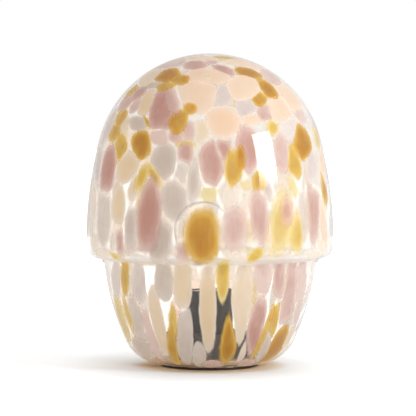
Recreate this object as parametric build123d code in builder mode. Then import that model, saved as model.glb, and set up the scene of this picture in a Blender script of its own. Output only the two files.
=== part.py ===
from build123d import *
import os
from math import cos, radians, sin

# Cordless table lamp: a one-piece blown glass shade that stands on, and lifts off, a
# rechargeable light unit. The unit is a stepped dark housing that plugs into the mouth of
# the glass, with a column that carries the light source and holds the cell.
# Millimetres, +Z up, origin on the table under the lamp's axis. The front faces -Y.

# Glass shade
lamp_height = 240.0
dome_radius = 95.0
shoulder_lean = 15.5
skirt_height = 5.6
rim_underside_height = 83.2
rim_underside_width = 3.9
rim_round = 9.2
crease_round = 2.5
bowl_top_lean = 5.0
bowl_low_lean = 25.0
glass_wall = 4.5
seat_width = 2.0

# Clearances
running_gap = 0.3
close_gap = 0.1
slide_gap = 0.05

# Foot ring, and how far it holds the light unit off the table
foot_ring_width = 3.2
foot_ring_inset = 0.6
foot_groove_depth = 0.9
foot_proud = 0.5
foot_ring_round = 0.3

# Base housing and its gasket
plug_radius = 34.6
housing_top = 26.0
housing_wall = 2.2
housing_round = 1.6
flange_thickness = 1.2
gasket_thickness = 0.5
sleeve_thickness = 0.55
sleeve_height = 6.5
screw_count = 3
first_screw_angle = 30.0
post_radius = 3.0
post_rib_thickness = 1.6

# Base plate and its screws
plate_thickness = 2.5
plate_lip = 1.2
standoff_radius = 2.6
standoff_inset = 2.0
plate_screw_length = 9.0
plate_screw_radius = 1.1
plate_screw_head_radius = 2.1
plate_screw_margin = 0.5
countersink_angle = 90.0
hex_radius = 0.8
hex_depth = 0.7

# Power button and switch
button_radius = 6.0
button_recess = 0.5
button_dish = 0.3
button_round = 0.4
button_flange_width = 1.5
button_flange_thickness = 0.8
button_travel = 0.5
switch_size = 6.0
switch_height = 3.4
switch_corner = 0.5
plunger_radius = 1.75
plunger_length = 2.4

# Charging socket and its light
usb_inset = 5.9
usb_opening_width = 8.34
usb_opening_height = 2.56
usb_shell_wall = 0.3
usb_recess = 0.4
usb_back_thickness = 1.4
usb_tongue_width = 6.69
usb_tongue_thickness = 0.7
usb_tongue_inset = 0.8
light_pipe_x = 9.5
light_pipe_radius = 1.25
light_pipe_recess = 0.2
light_pipe_flange_width = 0.7
light_pipe_flange_thickness = 0.8

# Main board and what is on it
board_thickness = 1.6
board_edge_gap = 1.0
board_screw_length = 5.0
small_screw_radius = 0.9
small_head_radius = 1.8
small_head_height = 1.2
component_gap = 0.3
chip_height = 0.9
chip_distance = 6.5
controller_size = 5.0
charger_size = 3.0
indicator_length = 1.6
indicator_width = 0.8
indicator_height = 0.6
inductor_size = 5.2
inductor_height = 2.8
inductor_round = 1.0
socket_width = 6.0
socket_depth = 4.2
socket_height = 2.9

# Cell, its carrier and the leads
cell_radius = 13.15
cell_length = 35.0
cell_round = 0.8
cell_crimp_drop = 3.2
cell_crimp_depth = 0.5
carrier_wall = 1.75
carrier_floor = 1.2
carrier_leg_radius = 1.6
carrier_leg_angle = 30.0
carrier_leg_inset = 0.4
tab_width = 2.8
tab_thickness = 0.25
tab_overlap = 8.0
pad_radius = 10.0
pad_thickness = 1.0
lead_radius = 0.6
lead_spacing = 3.2
lead_run = 2.8
lead_bend = 2.0
lead_slot_width = 6.4

# Column and light source
column_wall = 2.2
column_ledge = 0.8
column_round = 0.4
spigot_step = 1.0
spigot_tail = 0.5
nut_height = 3.5
nut_width = 3.4
nut_notch_count = 4
nut_notch_width = 3.0
nut_notch_depth = 1.4
spreader_thickness = 2.5
led_board_thickness = 1.2
led_board_margin = 0.4
led_count = 6
led_circle = 7.5
led_length = 3.5
led_width = 2.8
led_height = 0.7
led_screw_circle = 11.2
led_screw_length = 3.4
reflector_height = 2.2
reflector_foot = 2.6
reflector_lip = 1.0
diffuser_thickness = 1.5
diffuser_round = 0.4
diffuser_recess = 0.9

# Heights above the table, from the bottom up
plate_under = foot_proud
plate_top = plate_under + plate_thickness
flange_top = plate_under + flange_thickness
glass_bottom = flange_top + gasket_thickness
usb_mouth = plate_under + usb_recess
button_top = plate_top + button_flange_thickness
switch_under = button_top + button_travel + running_gap
board_under = switch_under + switch_height
board_top = board_under + board_thickness
pipe_under = plate_under + light_pipe_recess
pipe_top = board_under - indicator_height - running_gap
lead_height = board_top + socket_height / 2
carrier_under = board_top + max(socket_height, inductor_height) + component_gap
carrier_top = carrier_under + carrier_floor
cell_bottom = carrier_top + tab_thickness
cell_top = cell_bottom + cell_length
top_tab_top = cell_top + tab_thickness
spreader_under = top_tab_top + pad_thickness
spreader_top = spreader_under + spreader_thickness
led_board_top = spreader_top + led_board_thickness
reflector_rim = led_board_top + reflector_height
diffuser_top = reflector_rim + diffuser_thickness
column_top = diffuser_top + diffuser_recess
housing_ceiling = housing_top - housing_wall
nut_under = housing_ceiling - nut_height
dome_widest_height = rim_underside_height + rim_round + skirt_height

# Radii, from the plug inwards and outwards, and from the cell outwards
sleeve_inner = plug_radius + close_gap
sleeve_outer = sleeve_inner + sleeve_thickness
mouth_radius = sleeve_outer + running_gap
seat_radius = mouth_radius + seat_width
bowl_top_radius = dome_radius - rim_round - rim_underside_width
housing_bore = plug_radius - housing_wall
recess_radius = plug_radius - plate_lip
plate_radius = recess_radius - close_gap
foot_ring_outer = plate_radius - foot_ring_inset
foot_ring_inner = foot_ring_outer - foot_ring_width
post_circle = foot_ring_inner - plate_screw_head_radius - plate_screw_margin
board_radius = post_circle - post_radius - board_edge_gap
standoff_circle = board_radius - standoff_inset - standoff_radius
usb_offset = board_radius - usb_inset
usb_shell_width = usb_opening_width + 2 * usb_shell_wall
usb_shell_height = usb_opening_height + 2 * usb_shell_wall
button_flange_radius = button_radius + button_flange_width
carrier_bore = cell_radius + close_gap
carrier_radius = carrier_bore + carrier_wall
carrier_leg_circle = carrier_radius - carrier_leg_radius - carrier_leg_inset
column_bore = carrier_radius + running_gap
column_radius = column_bore + column_wall
counterbore = column_bore + column_ledge
light_radius = counterbore - close_gap
spigot_radius = column_radius - spigot_step
lead_path_radius = (cell_radius + column_bore) / 2
lead_slot_start = carrier_bore - carrier_wall
socket_reach = lead_path_radius - lead_run

os.makedirs("parts", exist_ok=True)


def save(piece, name):
    """Label a finished piece and write it as its own file."""
    piece.part.label = name
    export_step(piece.part, f"parts/{name}.step")


def tangent_radii(start_lean, change_lean, width, height):
    """Radii of two tangent arcs that lean from start_lean to change_lean and on to level.

    Together they span width across and height up, which is two equations in two radii.
    """
    start, change = radians(start_lean), radians(change_lean)
    side_across, end_across = cos(start) - cos(change), cos(change)
    side_up, end_up = sin(change) - sin(start), 1 - sin(change)
    share = side_across * end_up - end_across * side_up
    side = (width * end_up - height * end_across) / share
    end = (height * side_across - width * side_up) / share
    return side, end


# Glass shade: the outer profile runs from the crown down the side, round the rim, in to the
# crease, down the bowl and in to the mouth. The wall is offset inwards from it and turned.
side_radius, crown_radius = tangent_radii(
    0, shoulder_lean, dome_radius, lamp_height - dome_widest_height
)
bowl_radius, corner_radius = tangent_radii(
    bowl_top_lean,
    bowl_low_lean,
    bowl_top_radius - seat_radius,
    rim_underside_height - glass_bottom,
)
bowl_start = (-sin(radians(bowl_top_lean)), -cos(radians(bowl_top_lean)))

with BuildPart() as glass_shade:
    with BuildSketch(Plane.XZ):
        with BuildLine() as profile:
            crown = JernArc((0, lamp_height), (1, 0), crown_radius, shoulder_lean - 90)
            side = JernArc(crown @ 1, crown % 1, side_radius, -shoulder_lean)
            skirt = Line(side @ 1, (dome_radius, rim_underside_height + rim_round))
            rim = JernArc(skirt @ 1, skirt % 1, rim_round, -90)
            underside = Line(rim @ 1, (bowl_top_radius, rim_underside_height))
            bowl = JernArc(underside @ 1, bowl_start, bowl_radius, bowl_top_lean - bowl_low_lean)
            corner = JernArc(bowl @ 1, bowl % 1, corner_radius, bowl_low_lean - 90)
            Line(corner @ 1, (mouth_radius, glass_bottom))
            crease = profile.vertices().sort_by_distance(underside @ 1)[0]
            fillet(crease, crease_round)
            offset(amount=-glass_wall, side=Side.RIGHT, closed=True)
        make_face()
    revolve(axis=Axis.Z)
save(glass_shade, "glass_shade")

# Seat gasket: a silicone ring of L section. The glass stands on its flat flange, and its
# sleeve centres the mouth on the plug.
with BuildPart() as seat_gasket:
    with BuildSketch(Plane.XZ):
        with BuildLine():
            Polyline(
                (sleeve_inner, flange_top),
                (seat_radius, flange_top),
                (seat_radius, glass_bottom),
                (sleeve_outer, glass_bottom),
                (sleeve_outer, glass_bottom + sleeve_height - sleeve_thickness),
                (sleeve_inner + sleeve_thickness / 2, glass_bottom + sleeve_height),
                (sleeve_inner, glass_bottom + sleeve_height),
                close=True,
            )
        make_face()
    revolve(axis=Axis.Z)
save(seat_gasket, "seat_gasket")

# Base housing: a moulded cup, open below, with the flange that carries the glass, a recess
# for the base plate, a hole for the column and ribbed screw posts.
with BuildPart() as base_housing:
    with BuildSketch(Plane.XZ):
        with BuildLine():
            Polyline(
                (recess_radius, plate_under),
                (seat_radius, plate_under),
                (seat_radius, flange_top),
                (plug_radius, flange_top),
                (plug_radius, housing_top),
                (spigot_radius + close_gap, housing_top),
                (spigot_radius + close_gap, housing_ceiling),
                (housing_bore, housing_ceiling),
                (housing_bore, plate_top),
                (recess_radius, plate_top),
                close=True,
            )
        make_face()
    revolve(axis=Axis.Z)
    top_edges = base_housing.edges().filter_by(GeomType.CIRCLE).group_by(Axis.Z)[-1]
    fillet(top_edges.sort_by(SortBy.RADIUS)[-1], housing_round)
    with BuildSketch(Plane.XY.offset(plate_top)):
        with PolarLocations(post_circle, screw_count, first_screw_angle):
            Circle(post_radius)
            Rectangle(
                housing_bore - post_circle + housing_wall / 2,
                post_rib_thickness,
                align=(Align.MIN, Align.CENTER),
            )
    extrude(amount=housing_ceiling - plate_top)
    with BuildSketch(Plane.XY.offset(plate_top)):
        with PolarLocations(post_circle, screw_count, first_screw_angle):
            Circle(plate_screw_radius + slide_gap)
    extrude(amount=plate_screw_length, mode=Mode.SUBTRACT)
save(base_housing, "base_housing")

# Base plate: the underside's cover, with standoffs for the board, a groove for the foot
# ring, and openings for the button, the charging socket, its light and the screws.
with BuildPart() as base_plate:
    with BuildSketch(Plane.XY.offset(plate_under)):
        Circle(plate_radius)
    extrude(amount=plate_thickness)
    with BuildSketch(Plane.XY.offset(plate_under)):
        Circle(foot_ring_outer)
        Circle(foot_ring_inner, mode=Mode.SUBTRACT)
    extrude(amount=foot_groove_depth, mode=Mode.SUBTRACT)
    with BuildSketch(Plane.XY.offset(plate_top)):
        with PolarLocations(standoff_circle, screw_count, first_screw_angle):
            Circle(standoff_radius)
            Circle(small_screw_radius + slide_gap, mode=Mode.SUBTRACT)
    extrude(amount=board_under - plate_top)
    with BuildSketch(Plane.XY.offset(plate_under)):
        Circle(button_radius + running_gap)
        with Locations((0, usb_offset)):
            SlotOverall(usb_shell_width + 2 * running_gap, usb_shell_height + 2 * running_gap)
        with Locations((light_pipe_x, usb_offset)):
            Circle(light_pipe_radius + slide_gap)
    extrude(amount=plate_thickness, mode=Mode.SUBTRACT)
    with Locations(Plane((0, 0, plate_under), (1, 0, 0), (0, 0, -1))):
        with PolarLocations(post_circle, screw_count, -first_screw_angle):
            CounterSinkHole(
                plate_screw_radius + close_gap,
                plate_screw_head_radius + close_gap,
                plate_thickness,
                countersink_angle,
            )
save(base_plate, "base_plate")

# Foot ring: the silicone ring that the lamp stands on.
with BuildPart() as foot_ring:
    with BuildSketch():
        Circle(foot_ring_outer - slide_gap)
        Circle(foot_ring_inner + slide_gap, mode=Mode.SUBTRACT)
    extrude(amount=foot_proud + foot_groove_depth)
    fillet(foot_ring.edges().group_by(Axis.Z)[0], foot_ring_round)
save(foot_ring, "foot_ring")

# Base plate screws: countersunk, with hex sockets.
with BuildPart() as base_plate_screws:
    with Locations((0, 0, plate_under)):
        with PolarLocations(post_circle, screw_count, first_screw_angle):
            Cylinder(
                plate_screw_radius,
                plate_screw_length,
                align=(Align.CENTER, Align.CENTER, Align.MIN),
            )
            Cone(
                plate_screw_head_radius,
                plate_screw_radius,
                plate_screw_head_radius - plate_screw_radius,
                align=(Align.CENTER, Align.CENTER, Align.MIN),
            )
    with BuildSketch(Plane.XY.offset(plate_under)):
        with PolarLocations(post_circle, screw_count, first_screw_angle):
            RegularPolygon(hex_radius, 6)
    extrude(amount=hex_depth, mode=Mode.SUBTRACT)
save(base_plate_screws, "base_plate_screws")

# Power button: a dished cap that drops into the plate's hole, kept in by its flange.
with BuildPart() as power_button:
    with BuildSketch(Plane.XZ):
        with BuildLine():
            cap_edge = plate_under + button_recess
            dish = TangentArc((0, cap_edge + button_dish), (button_radius, cap_edge), tangent=(1, 0))
            Polyline(
                dish @ 1,
                (button_radius, plate_top),
                (button_flange_radius, plate_top),
                (button_flange_radius, button_top),
                (0, button_top),
                dish @ 0,
            )
        make_face()
    revolve(axis=Axis.Z)
    fillet(power_button.edges().filter_by(GeomType.CIRCLE).sort_by(Axis.Z)[0], button_round)
save(power_button, "power_button")

# Switch plunger: the pin of the switch, pushed up by the button.
with BuildPart() as switch_plunger:
    with BuildSketch(Plane.XY.offset(button_top)):
        Circle(plunger_radius)
    extrude(amount=plunger_length)
save(switch_plunger, "switch_plunger")

# Tact switch: a square body under the board, with a blind hole that guides the plunger.
with BuildPart() as tact_switch:
    with BuildSketch(Plane.XY.offset(switch_under)):
        RectangleRounded(switch_size, switch_size, switch_corner)
    extrude(amount=switch_height)
    with BuildSketch(Plane.XY.offset(switch_under)):
        Circle(plunger_radius + slide_gap)
    extrude(amount=plunger_length, mode=Mode.SUBTRACT)
save(tact_switch, "tact_switch")

# Charging socket: a drawn steel shell that opens downwards, and its insulator with tongue.
with BuildPart() as usb_c_shell:
    with BuildSketch(Plane.XY.offset(usb_mouth)):
        with Locations((0, usb_offset)):
            SlotOverall(usb_shell_width, usb_shell_height)
            SlotOverall(usb_opening_width, usb_opening_height, mode=Mode.SUBTRACT)
    extrude(amount=board_under - usb_mouth)
save(usb_c_shell, "usb_c_shell")

with BuildPart() as usb_c_tongue:
    with BuildSketch(Plane.XY.offset(board_under)):
        with Locations((0, usb_offset)):
            SlotOverall(usb_opening_width - 2 * slide_gap, usb_opening_height - 2 * slide_gap)
    extrude(amount=-usb_back_thickness)
    with BuildSketch(Plane.XY.offset(board_under - usb_back_thickness)):
        with Locations((0, usb_offset)):
            Rectangle(usb_tongue_width, usb_tongue_thickness)
    extrude(amount=usb_mouth + usb_tongue_inset - board_under + usb_back_thickness)
save(usb_c_tongue, "usb_c_tongue")

# Charge light pipe: a clear rod with a collar that sits on the plate, under the indicator.
with BuildPart() as charge_light_pipe:
    with BuildSketch(Plane.XY.offset(pipe_under)):
        with Locations((light_pipe_x, usb_offset)):
            Circle(light_pipe_radius)
    extrude(amount=pipe_top - pipe_under)
    with BuildSketch(Plane.XY.offset(plate_top)):
        with Locations((light_pipe_x, usb_offset)):
            Circle(light_pipe_radius + light_pipe_flange_width)
    extrude(amount=light_pipe_flange_thickness)
save(charge_light_pipe, "charge_light_pipe")

# Main board: a round circuit board on the plate's standoffs, and its screws.
with BuildPart() as main_board:
    with BuildSketch(Plane.XY.offset(board_under)):
        Circle(board_radius)
        with PolarLocations(standoff_circle, screw_count, first_screw_angle):
            Circle(small_screw_radius + close_gap, mode=Mode.SUBTRACT)
    extrude(amount=board_thickness)
save(main_board, "main_board")

with BuildPart() as main_board_screws:
    with Locations((0, 0, board_top)):
        with PolarLocations(standoff_circle, screw_count, first_screw_angle):
            Cylinder(
                small_head_radius,
                small_head_height,
                align=(Align.CENTER, Align.CENTER, Align.MIN),
            )
            Cylinder(
                small_screw_radius,
                board_screw_length,
                align=(Align.CENTER, Align.CENTER, Align.MAX),
            )
    with BuildSketch(Plane.XY.offset(board_top + small_head_height)):
        with PolarLocations(standoff_circle, screw_count, first_screw_angle):
            RegularPolygon(hex_radius, 6)
    extrude(amount=-hex_depth, mode=Mode.SUBTRACT)
save(main_board_screws, "main_board_screws")

# Board chips: controller and charger on top, and the charge indicator over its light pipe.
with BuildPart() as board_chips:
    with BuildSketch(Plane.XY.offset(board_top)):
        with Locations((0, -chip_distance)):
            Rectangle(controller_size, controller_size)
        with Locations((0, chip_distance)):
            Rectangle(charger_size, charger_size)
    extrude(amount=chip_height)
    with BuildSketch(Plane.XY.offset(board_under)):
        with Locations((light_pipe_x, usb_offset)):
            Rectangle(indicator_length, indicator_width)
    extrude(amount=-indicator_height)
save(board_chips, "board_chips")

# Driver inductor: a moulded choke in the middle of the board.
with BuildPart() as driver_inductor:
    with BuildSketch(Plane.XY.offset(board_top)):
        RectangleRounded(inductor_size, inductor_size, inductor_round)
    extrude(amount=inductor_height)
save(driver_inductor, "driver_inductor")

# Lead sockets: one for the cell at +X, one for the light source at -X, mouths outwards.
with BuildPart() as lead_sockets:
    with BuildSketch(Plane.XY.offset(board_top)):
        with PolarLocations(socket_reach, 2):
            Rectangle(socket_depth, socket_width, align=(Align.MAX, Align.CENTER))
    extrude(amount=socket_height)
save(lead_sockets, "lead_sockets")

# Battery carrier: a cup on four legs that stands on the board inside the column, with two
# slots for the leads.
with BuildPart() as battery_carrier:
    with BuildSketch(Plane.XY.offset(carrier_under)):
        Circle(carrier_radius)
    extrude(amount=cell_top - carrier_under)
    with BuildSketch(Plane.XY.offset(carrier_top)):
        Circle(carrier_bore)
    extrude(amount=cell_top - carrier_top, mode=Mode.SUBTRACT)
    with BuildSketch(Plane.XY.offset(carrier_under)):
        with PolarLocations(lead_slot_start, 2):
            Rectangle(2 * carrier_wall + close_gap, lead_slot_width, align=(Align.MIN, Align.CENTER))
    extrude(amount=cell_top - carrier_under, mode=Mode.SUBTRACT)
    with BuildSketch(Plane.XY.offset(board_top)):
        for side_angle in (90, 270):
            for leg_angle in (side_angle - carrier_leg_angle, side_angle + carrier_leg_angle):
                with PolarLocations(carrier_leg_circle, 1, leg_angle):
                    Circle(carrier_leg_radius)
    extrude(amount=carrier_under - board_top)
save(battery_carrier, "battery_carrier")

# Battery cell: a sleeved steel can with a rolled crimp below its cap.
with BuildPart() as battery_cell:
    with BuildSketch(Plane.XY.offset(cell_bottom)):
        Circle(cell_radius)
    extrude(amount=cell_length)
    fillet(battery_cell.edges().filter_by(GeomType.CIRCLE), cell_round)
    with Locations((0, 0, cell_top - cell_crimp_drop)):
        Torus(cell_radius + cell_crimp_depth, 2 * cell_crimp_depth, mode=Mode.SUBTRACT)
save(battery_cell, "battery_cell")

# Battery tabs: nickel strips under and over the cell, out to the leads at +X.
with BuildPart() as battery_tabs:
    for height, side_sign in ((carrier_top, -1), (cell_top, 1)):
        with BuildSketch(Plane.XY.offset(height)):
            with Locations((lead_path_radius + lead_radius, side_sign * lead_spacing / 2)):
                Rectangle(tab_overlap, tab_width, align=(Align.MAX, Align.CENTER))
        extrude(amount=tab_thickness)
save(battery_tabs, "battery_tabs")

# Cell pad: foam that holds the cell down and keeps its top tab off the heat spreader.
with BuildPart() as cell_pad:
    with BuildSketch(Plane.XY.offset(top_tab_top)):
        Circle(pad_radius)
    extrude(amount=pad_thickness)
save(cell_pad, "cell_pad")

# Leads: each wire leaves its socket outwards and turns up beside the cell. The cell's pair
# ends under its two tabs, the light source's pair under its board.
with BuildPart() as battery_leads:
    for lead_end, side_sign in ((carrier_top, -1), (cell_top, 1)):
        lead_y = side_sign * lead_spacing / 2
        with BuildLine():
            lead = FilletPolyline(
                (socket_reach, lead_y, lead_height),
                (lead_path_radius, lead_y, lead_height),
                (lead_path_radius, lead_y, lead_end),
                radius=lead_bend,
            )
        with BuildSketch(Plane(lead @ 0, z_dir=lead % 0)):
            Circle(lead_radius)
        sweep(path=lead)
save(battery_leads, "battery_leads")

with BuildPart() as led_leads:
    for side_sign in (-1, 1):
        lead_y = side_sign * lead_spacing / 2
        with BuildLine():
            lead = FilletPolyline(
                (-socket_reach, lead_y, lead_height),
                (-lead_path_radius, lead_y, lead_height),
                (-lead_path_radius, lead_y, spreader_top),
                radius=lead_bend,
            )
        with BuildSketch(Plane(lead @ 0, z_dir=lead % 0)):
            Circle(lead_radius)
        sweep(path=lead)
save(led_leads, "led_leads")

# Light column: a turned tube whose shoulder stands on the housing. Its spigot goes through
# the housing's top, and its counterbore holds the light source.
with BuildPart() as light_column:
    with BuildSketch(Plane.XZ):
        with BuildLine():
            Polyline(
                (column_bore, nut_under - spigot_tail),
                (spigot_radius, nut_under - spigot_tail),
                (spigot_radius, housing_top),
                (column_radius, housing_top),
                (column_radius, column_top),
                (counterbore, column_top),
                (counterbore, spreader_under),
                (column_bore, spreader_under),
                close=True,
            )
        make_face()
    revolve(axis=Axis.Z)
    fillet(light_column.edges().group_by(Axis.Z)[-1], column_round)
save(light_column, "light_column")

# Column nut: a notched ring nut that clamps the spigot under the housing's top.
with BuildPart() as column_nut:
    with BuildSketch(Plane.XY.offset(nut_under)):
        Circle(spigot_radius + nut_width)
        Circle(spigot_radius + slide_gap, mode=Mode.SUBTRACT)
        with PolarLocations(spigot_radius + nut_width, nut_notch_count):
            Rectangle(2 * nut_notch_depth, nut_notch_width, mode=Mode.SUBTRACT)
    extrude(amount=nut_height)
save(column_nut, "column_nut")

# Heat spreader: an aluminium disc on the column's ledge, notched for the leads.
with BuildPart() as heat_spreader:
    with BuildSketch(Plane.XY.offset(spreader_under)):
        Circle(light_radius)
        with Locations((-lead_path_radius + lead_radius + running_gap, 0)):
            Rectangle(light_radius, lead_slot_width, align=(Align.MAX, Align.CENTER), mode=Mode.SUBTRACT)
        with PolarLocations(led_screw_circle, 2, 90):
            Circle(small_screw_radius + slide_gap, mode=Mode.SUBTRACT)
    extrude(amount=spreader_thickness)
save(heat_spreader, "heat_spreader")

# Light board, its screws and its light-emitting chips: a ring of chips round one more.
with BuildPart() as led_board:
    with BuildSketch(Plane.XY.offset(spreader_top)):
        Circle(light_radius - led_board_margin)
        with PolarLocations(led_screw_circle, 2, 90):
            Circle(small_screw_radius + close_gap, mode=Mode.SUBTRACT)
    extrude(amount=led_board_thickness)
save(led_board, "led_board")

with BuildPart() as led_board_screws:
    with Locations((0, 0, led_board_top)):
        with PolarLocations(led_screw_circle, 2, 90):
            Cylinder(
                small_head_radius,
                small_head_height,
                align=(Align.CENTER, Align.CENTER, Align.MIN),
            )
            Cylinder(
                small_screw_radius,
                led_screw_length,
                align=(Align.CENTER, Align.CENTER, Align.MAX),
            )
    with BuildSketch(Plane.XY.offset(led_board_top + small_head_height)):
        with PolarLocations(led_screw_circle, 2, 90):
            RegularPolygon(hex_radius, 6)
    extrude(amount=-hex_depth, mode=Mode.SUBTRACT)
save(led_board_screws, "led_board_screws")

with BuildPart() as led_chips:
    with BuildSketch(Plane.XY.offset(led_board_top)):
        Rectangle(led_length, led_width)
        with PolarLocations(led_circle, led_count):
            Rectangle(led_width, led_length)
    extrude(amount=led_height)
save(led_chips, "led_chips")

# Reflector ring: a white cone that stands on the light board and carries the diffuser.
with BuildPart() as reflector_ring:
    with BuildSketch(Plane.XZ):
        with BuildLine():
            Polyline(
                (light_radius - reflector_foot, led_board_top),
                (light_radius, led_board_top),
                (light_radius, reflector_rim),
                (light_radius - reflector_lip, reflector_rim),
                close=True,
            )
        make_face()
    revolve(axis=Axis.Z)
save(reflector_ring, "reflector_ring")

# Diffuser: an opal disc set into the column's top.
with BuildPart() as diffuser:
    with BuildSketch(Plane.XY.offset(reflector_rim)):
        Circle(light_radius)
    extrude(amount=diffuser_thickness)
    fillet(diffuser.edges().group_by(Axis.Z)[-1], diffuser_round)
save(diffuser, "diffuser")
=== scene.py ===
# %% [markdown]
# # A cordless table lamp of spotted blown glass
#
# The lamp is one thick bubble of clear glass, shaped like an acorn, with chips of coloured
# glass melted into its wall. It stands on a dark light unit that plugs into its mouth. This
# lesson loads the lamp's exact construction, then gives it its looks. The glass is spun from
# the profile that the construction was drawn with, each chip is laid into its wall, and every
# piece of the light unit gets the finish it has on the workbench.

# %% Load the frame
from collections import namedtuple
from math import asin, cos, degrees, pi, radians, sin

import bpy
import numpy as np
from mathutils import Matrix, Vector


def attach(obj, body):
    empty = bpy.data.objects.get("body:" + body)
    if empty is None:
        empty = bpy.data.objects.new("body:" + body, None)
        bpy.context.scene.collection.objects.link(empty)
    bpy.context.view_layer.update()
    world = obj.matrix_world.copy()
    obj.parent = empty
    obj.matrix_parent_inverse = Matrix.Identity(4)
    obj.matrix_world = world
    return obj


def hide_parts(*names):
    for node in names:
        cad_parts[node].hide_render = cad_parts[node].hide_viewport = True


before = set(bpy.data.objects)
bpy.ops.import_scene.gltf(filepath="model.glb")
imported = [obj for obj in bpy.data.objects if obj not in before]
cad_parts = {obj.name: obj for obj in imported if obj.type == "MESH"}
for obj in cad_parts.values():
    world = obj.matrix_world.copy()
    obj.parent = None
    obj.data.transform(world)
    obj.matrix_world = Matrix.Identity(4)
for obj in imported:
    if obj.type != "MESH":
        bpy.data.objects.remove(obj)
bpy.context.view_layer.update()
bpy.ops.object.select_all(action="DESELECT")

# %% [markdown]
# ## The camera
#
# The camera comes first, because the coloured chips are laid where the photograph shows them.
# The lamp was taken with a long lens from just above the table: the foot is a slim ellipse and
# the dome hides its own top. The middle of the picture falls on a point near the lamp's axis,
# and the picture's width spans a known length there, which gives the focal length.

# %% Camera
photo_size = 416
picture_middle = Vector((-0.0015, 0, 0.1213))
picture_span = 0.320
camera_away, camera_height = 1.95, 0.22

bpy.ops.object.camera_add(location=(picture_middle.x, -camera_away, camera_height))
camera = bpy.context.object
line_of_sight = picture_middle - camera.location
camera.rotation_euler = line_of_sight.to_track_quat("-Z", "Y").to_euler()
camera.data.lens = camera.data.sensor_width * line_of_sight.length / picture_span
bpy.context.scene.camera = camera
print("Lens", round(camera.data.lens), "mm at", round(line_of_sight.length, 2), "m")

# %% [markdown]
# ## Five small helpers
#
# Colours are read off with a colour picker as hex codes, and Blender wants them in linear
# light, so one function turns a code into a linear colour. The next adds a shader node, sets
# its properties and its sockets, and links whatever is handed to it as another node. With it a
# material reads as a list of what it is made of. A socket is told by its number where that is
# shorter or its name isn't the only one: a Map Range takes a value, the two ends that it comes
# from and the two that it goes to, and a Mix has its two colours at 6 and 7. One function starts
# a material, one puts it on a piece, and the last tells rays of some kinds from all others, so
# that a material can treat light that only passes through it apart from what the camera sees.

# %% Helpers


def linear(code):
    """The linear colour, with alpha, of a hex code as a colour picker shows it."""
    shares = [int(code[i : i + 2], 16) / 255 for i in (1, 3, 5)]
    return [s / 12.92 if s <= 0.04045 else ((s + 0.055) / 1.055) ** 2.4 for s in shares] + [1]


def add(tree, kind, values=None, **properties):
    """Add a node. Values go to its sockets by name or number; nodes and outputs are linked."""
    node = tree.nodes.new("ShaderNode" + kind)
    for name, value in properties.items():
        setattr(node, name, value)
    for socket, value in (values or {}).items():
        if isinstance(value, bpy.types.Node):
            value = next(output for output in value.outputs if output.enabled)
        if isinstance(value, bpy.types.NodeSocket):
            tree.links.new(value, node.inputs[socket])
        else:
            node.inputs[socket].default_value = value
    return node


def new_material(name):
    """Start a material: it, its node tree, and the place on the piece in object coordinates."""
    material = bpy.data.materials.new(name)
    material.use_nodes = True
    material.node_tree.nodes.clear()
    return material, material.node_tree, add(material.node_tree, "TexCoord").outputs["Object"]


def wear(piece, material):
    """Give a piece one material in place of what it has."""
    piece.data.materials.clear()
    piece.data.materials.append(material)


def rays(tree, *kinds):
    """One for rays of a kind, or of either of two kinds, and zero for all others."""
    path = add(tree, "LightPath")
    first, last = (path.outputs[f"Is {kind} Ray"] for kind in (kinds[0], kinds[-1]))
    return add(tree, "Math", {0: first, 1: last}, operation="MAXIMUM")


print("A middle grey is", round(linear("#808080")[0], 3), "in linear light")

# %% [markdown]
# ## The profile of the glass
#
# A glassblower turns the bubble all the time, so one line describes it: from the crown down
# the side, round the rolled rim, into the crease, down the bowl and in to the mouth. The line
# is a chain of arcs and straight runs, each tangent to the last. Only a few sizes need to be
# named, all read off the lamp; the radii of the large arcs follow from them, because two arcs
# that touch have to span a known width and height together.

# %% Profile, in millimetres and degrees
lamp_height = 240
dome_radius = 95
shoulder_lean = 15.5
skirt_height = 5.6
rim_height = 83.2
rim_round = 9.2
rim_underside_width = 3.9
crease_round = 2.5
bowl_top_lean, bowl_low_lean = 5, 25
glass_bottom, seat_radius, seat_width = 2.2, 37.55, 2
glass_wall = 4.5


def tangent_radii(start, change, width, height):
    """Radii of two tangent arcs that lean from start to change, and from there on to level."""
    start, change = radians(start), radians(change)
    side_across, end_across = cos(start) - cos(change), cos(change)
    side_up, end_up = sin(change) - sin(start), 1 - sin(change)
    share = side_across * end_up - end_across * side_up
    side = (width * end_up - height * end_across) / share
    return side, (height * side_across - width * side_up) / share


widest_height = rim_height + rim_round + skirt_height
bowl_top_radius = dome_radius - rim_round - rim_underside_width
bowl_size = (bowl_top_radius - seat_radius, rim_height - glass_bottom)
side_radius, crown_radius = tangent_radii(0, shoulder_lean, dome_radius, lamp_height - widest_height)
bowl_radius, corner_radius = tangent_radii(bowl_top_lean, bowl_low_lean, *bowl_size)
print("Radii: crown", round(crown_radius, 1), "side", round(side_radius, 1), "bowl", round(bowl_radius, 1))

# %% [markdown]
# ## Walking along the profile
#
# Where the rim meets the bowl the glass folds into a crease, and its round takes a little of
# the underside and of the bowl. With that worked out, the whole line is a list of steps: a
# radius and a turn in degrees, or a length with no turn. Each step starts in the direction in
# which the last one ended, so one short function can walk all of it.

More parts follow.
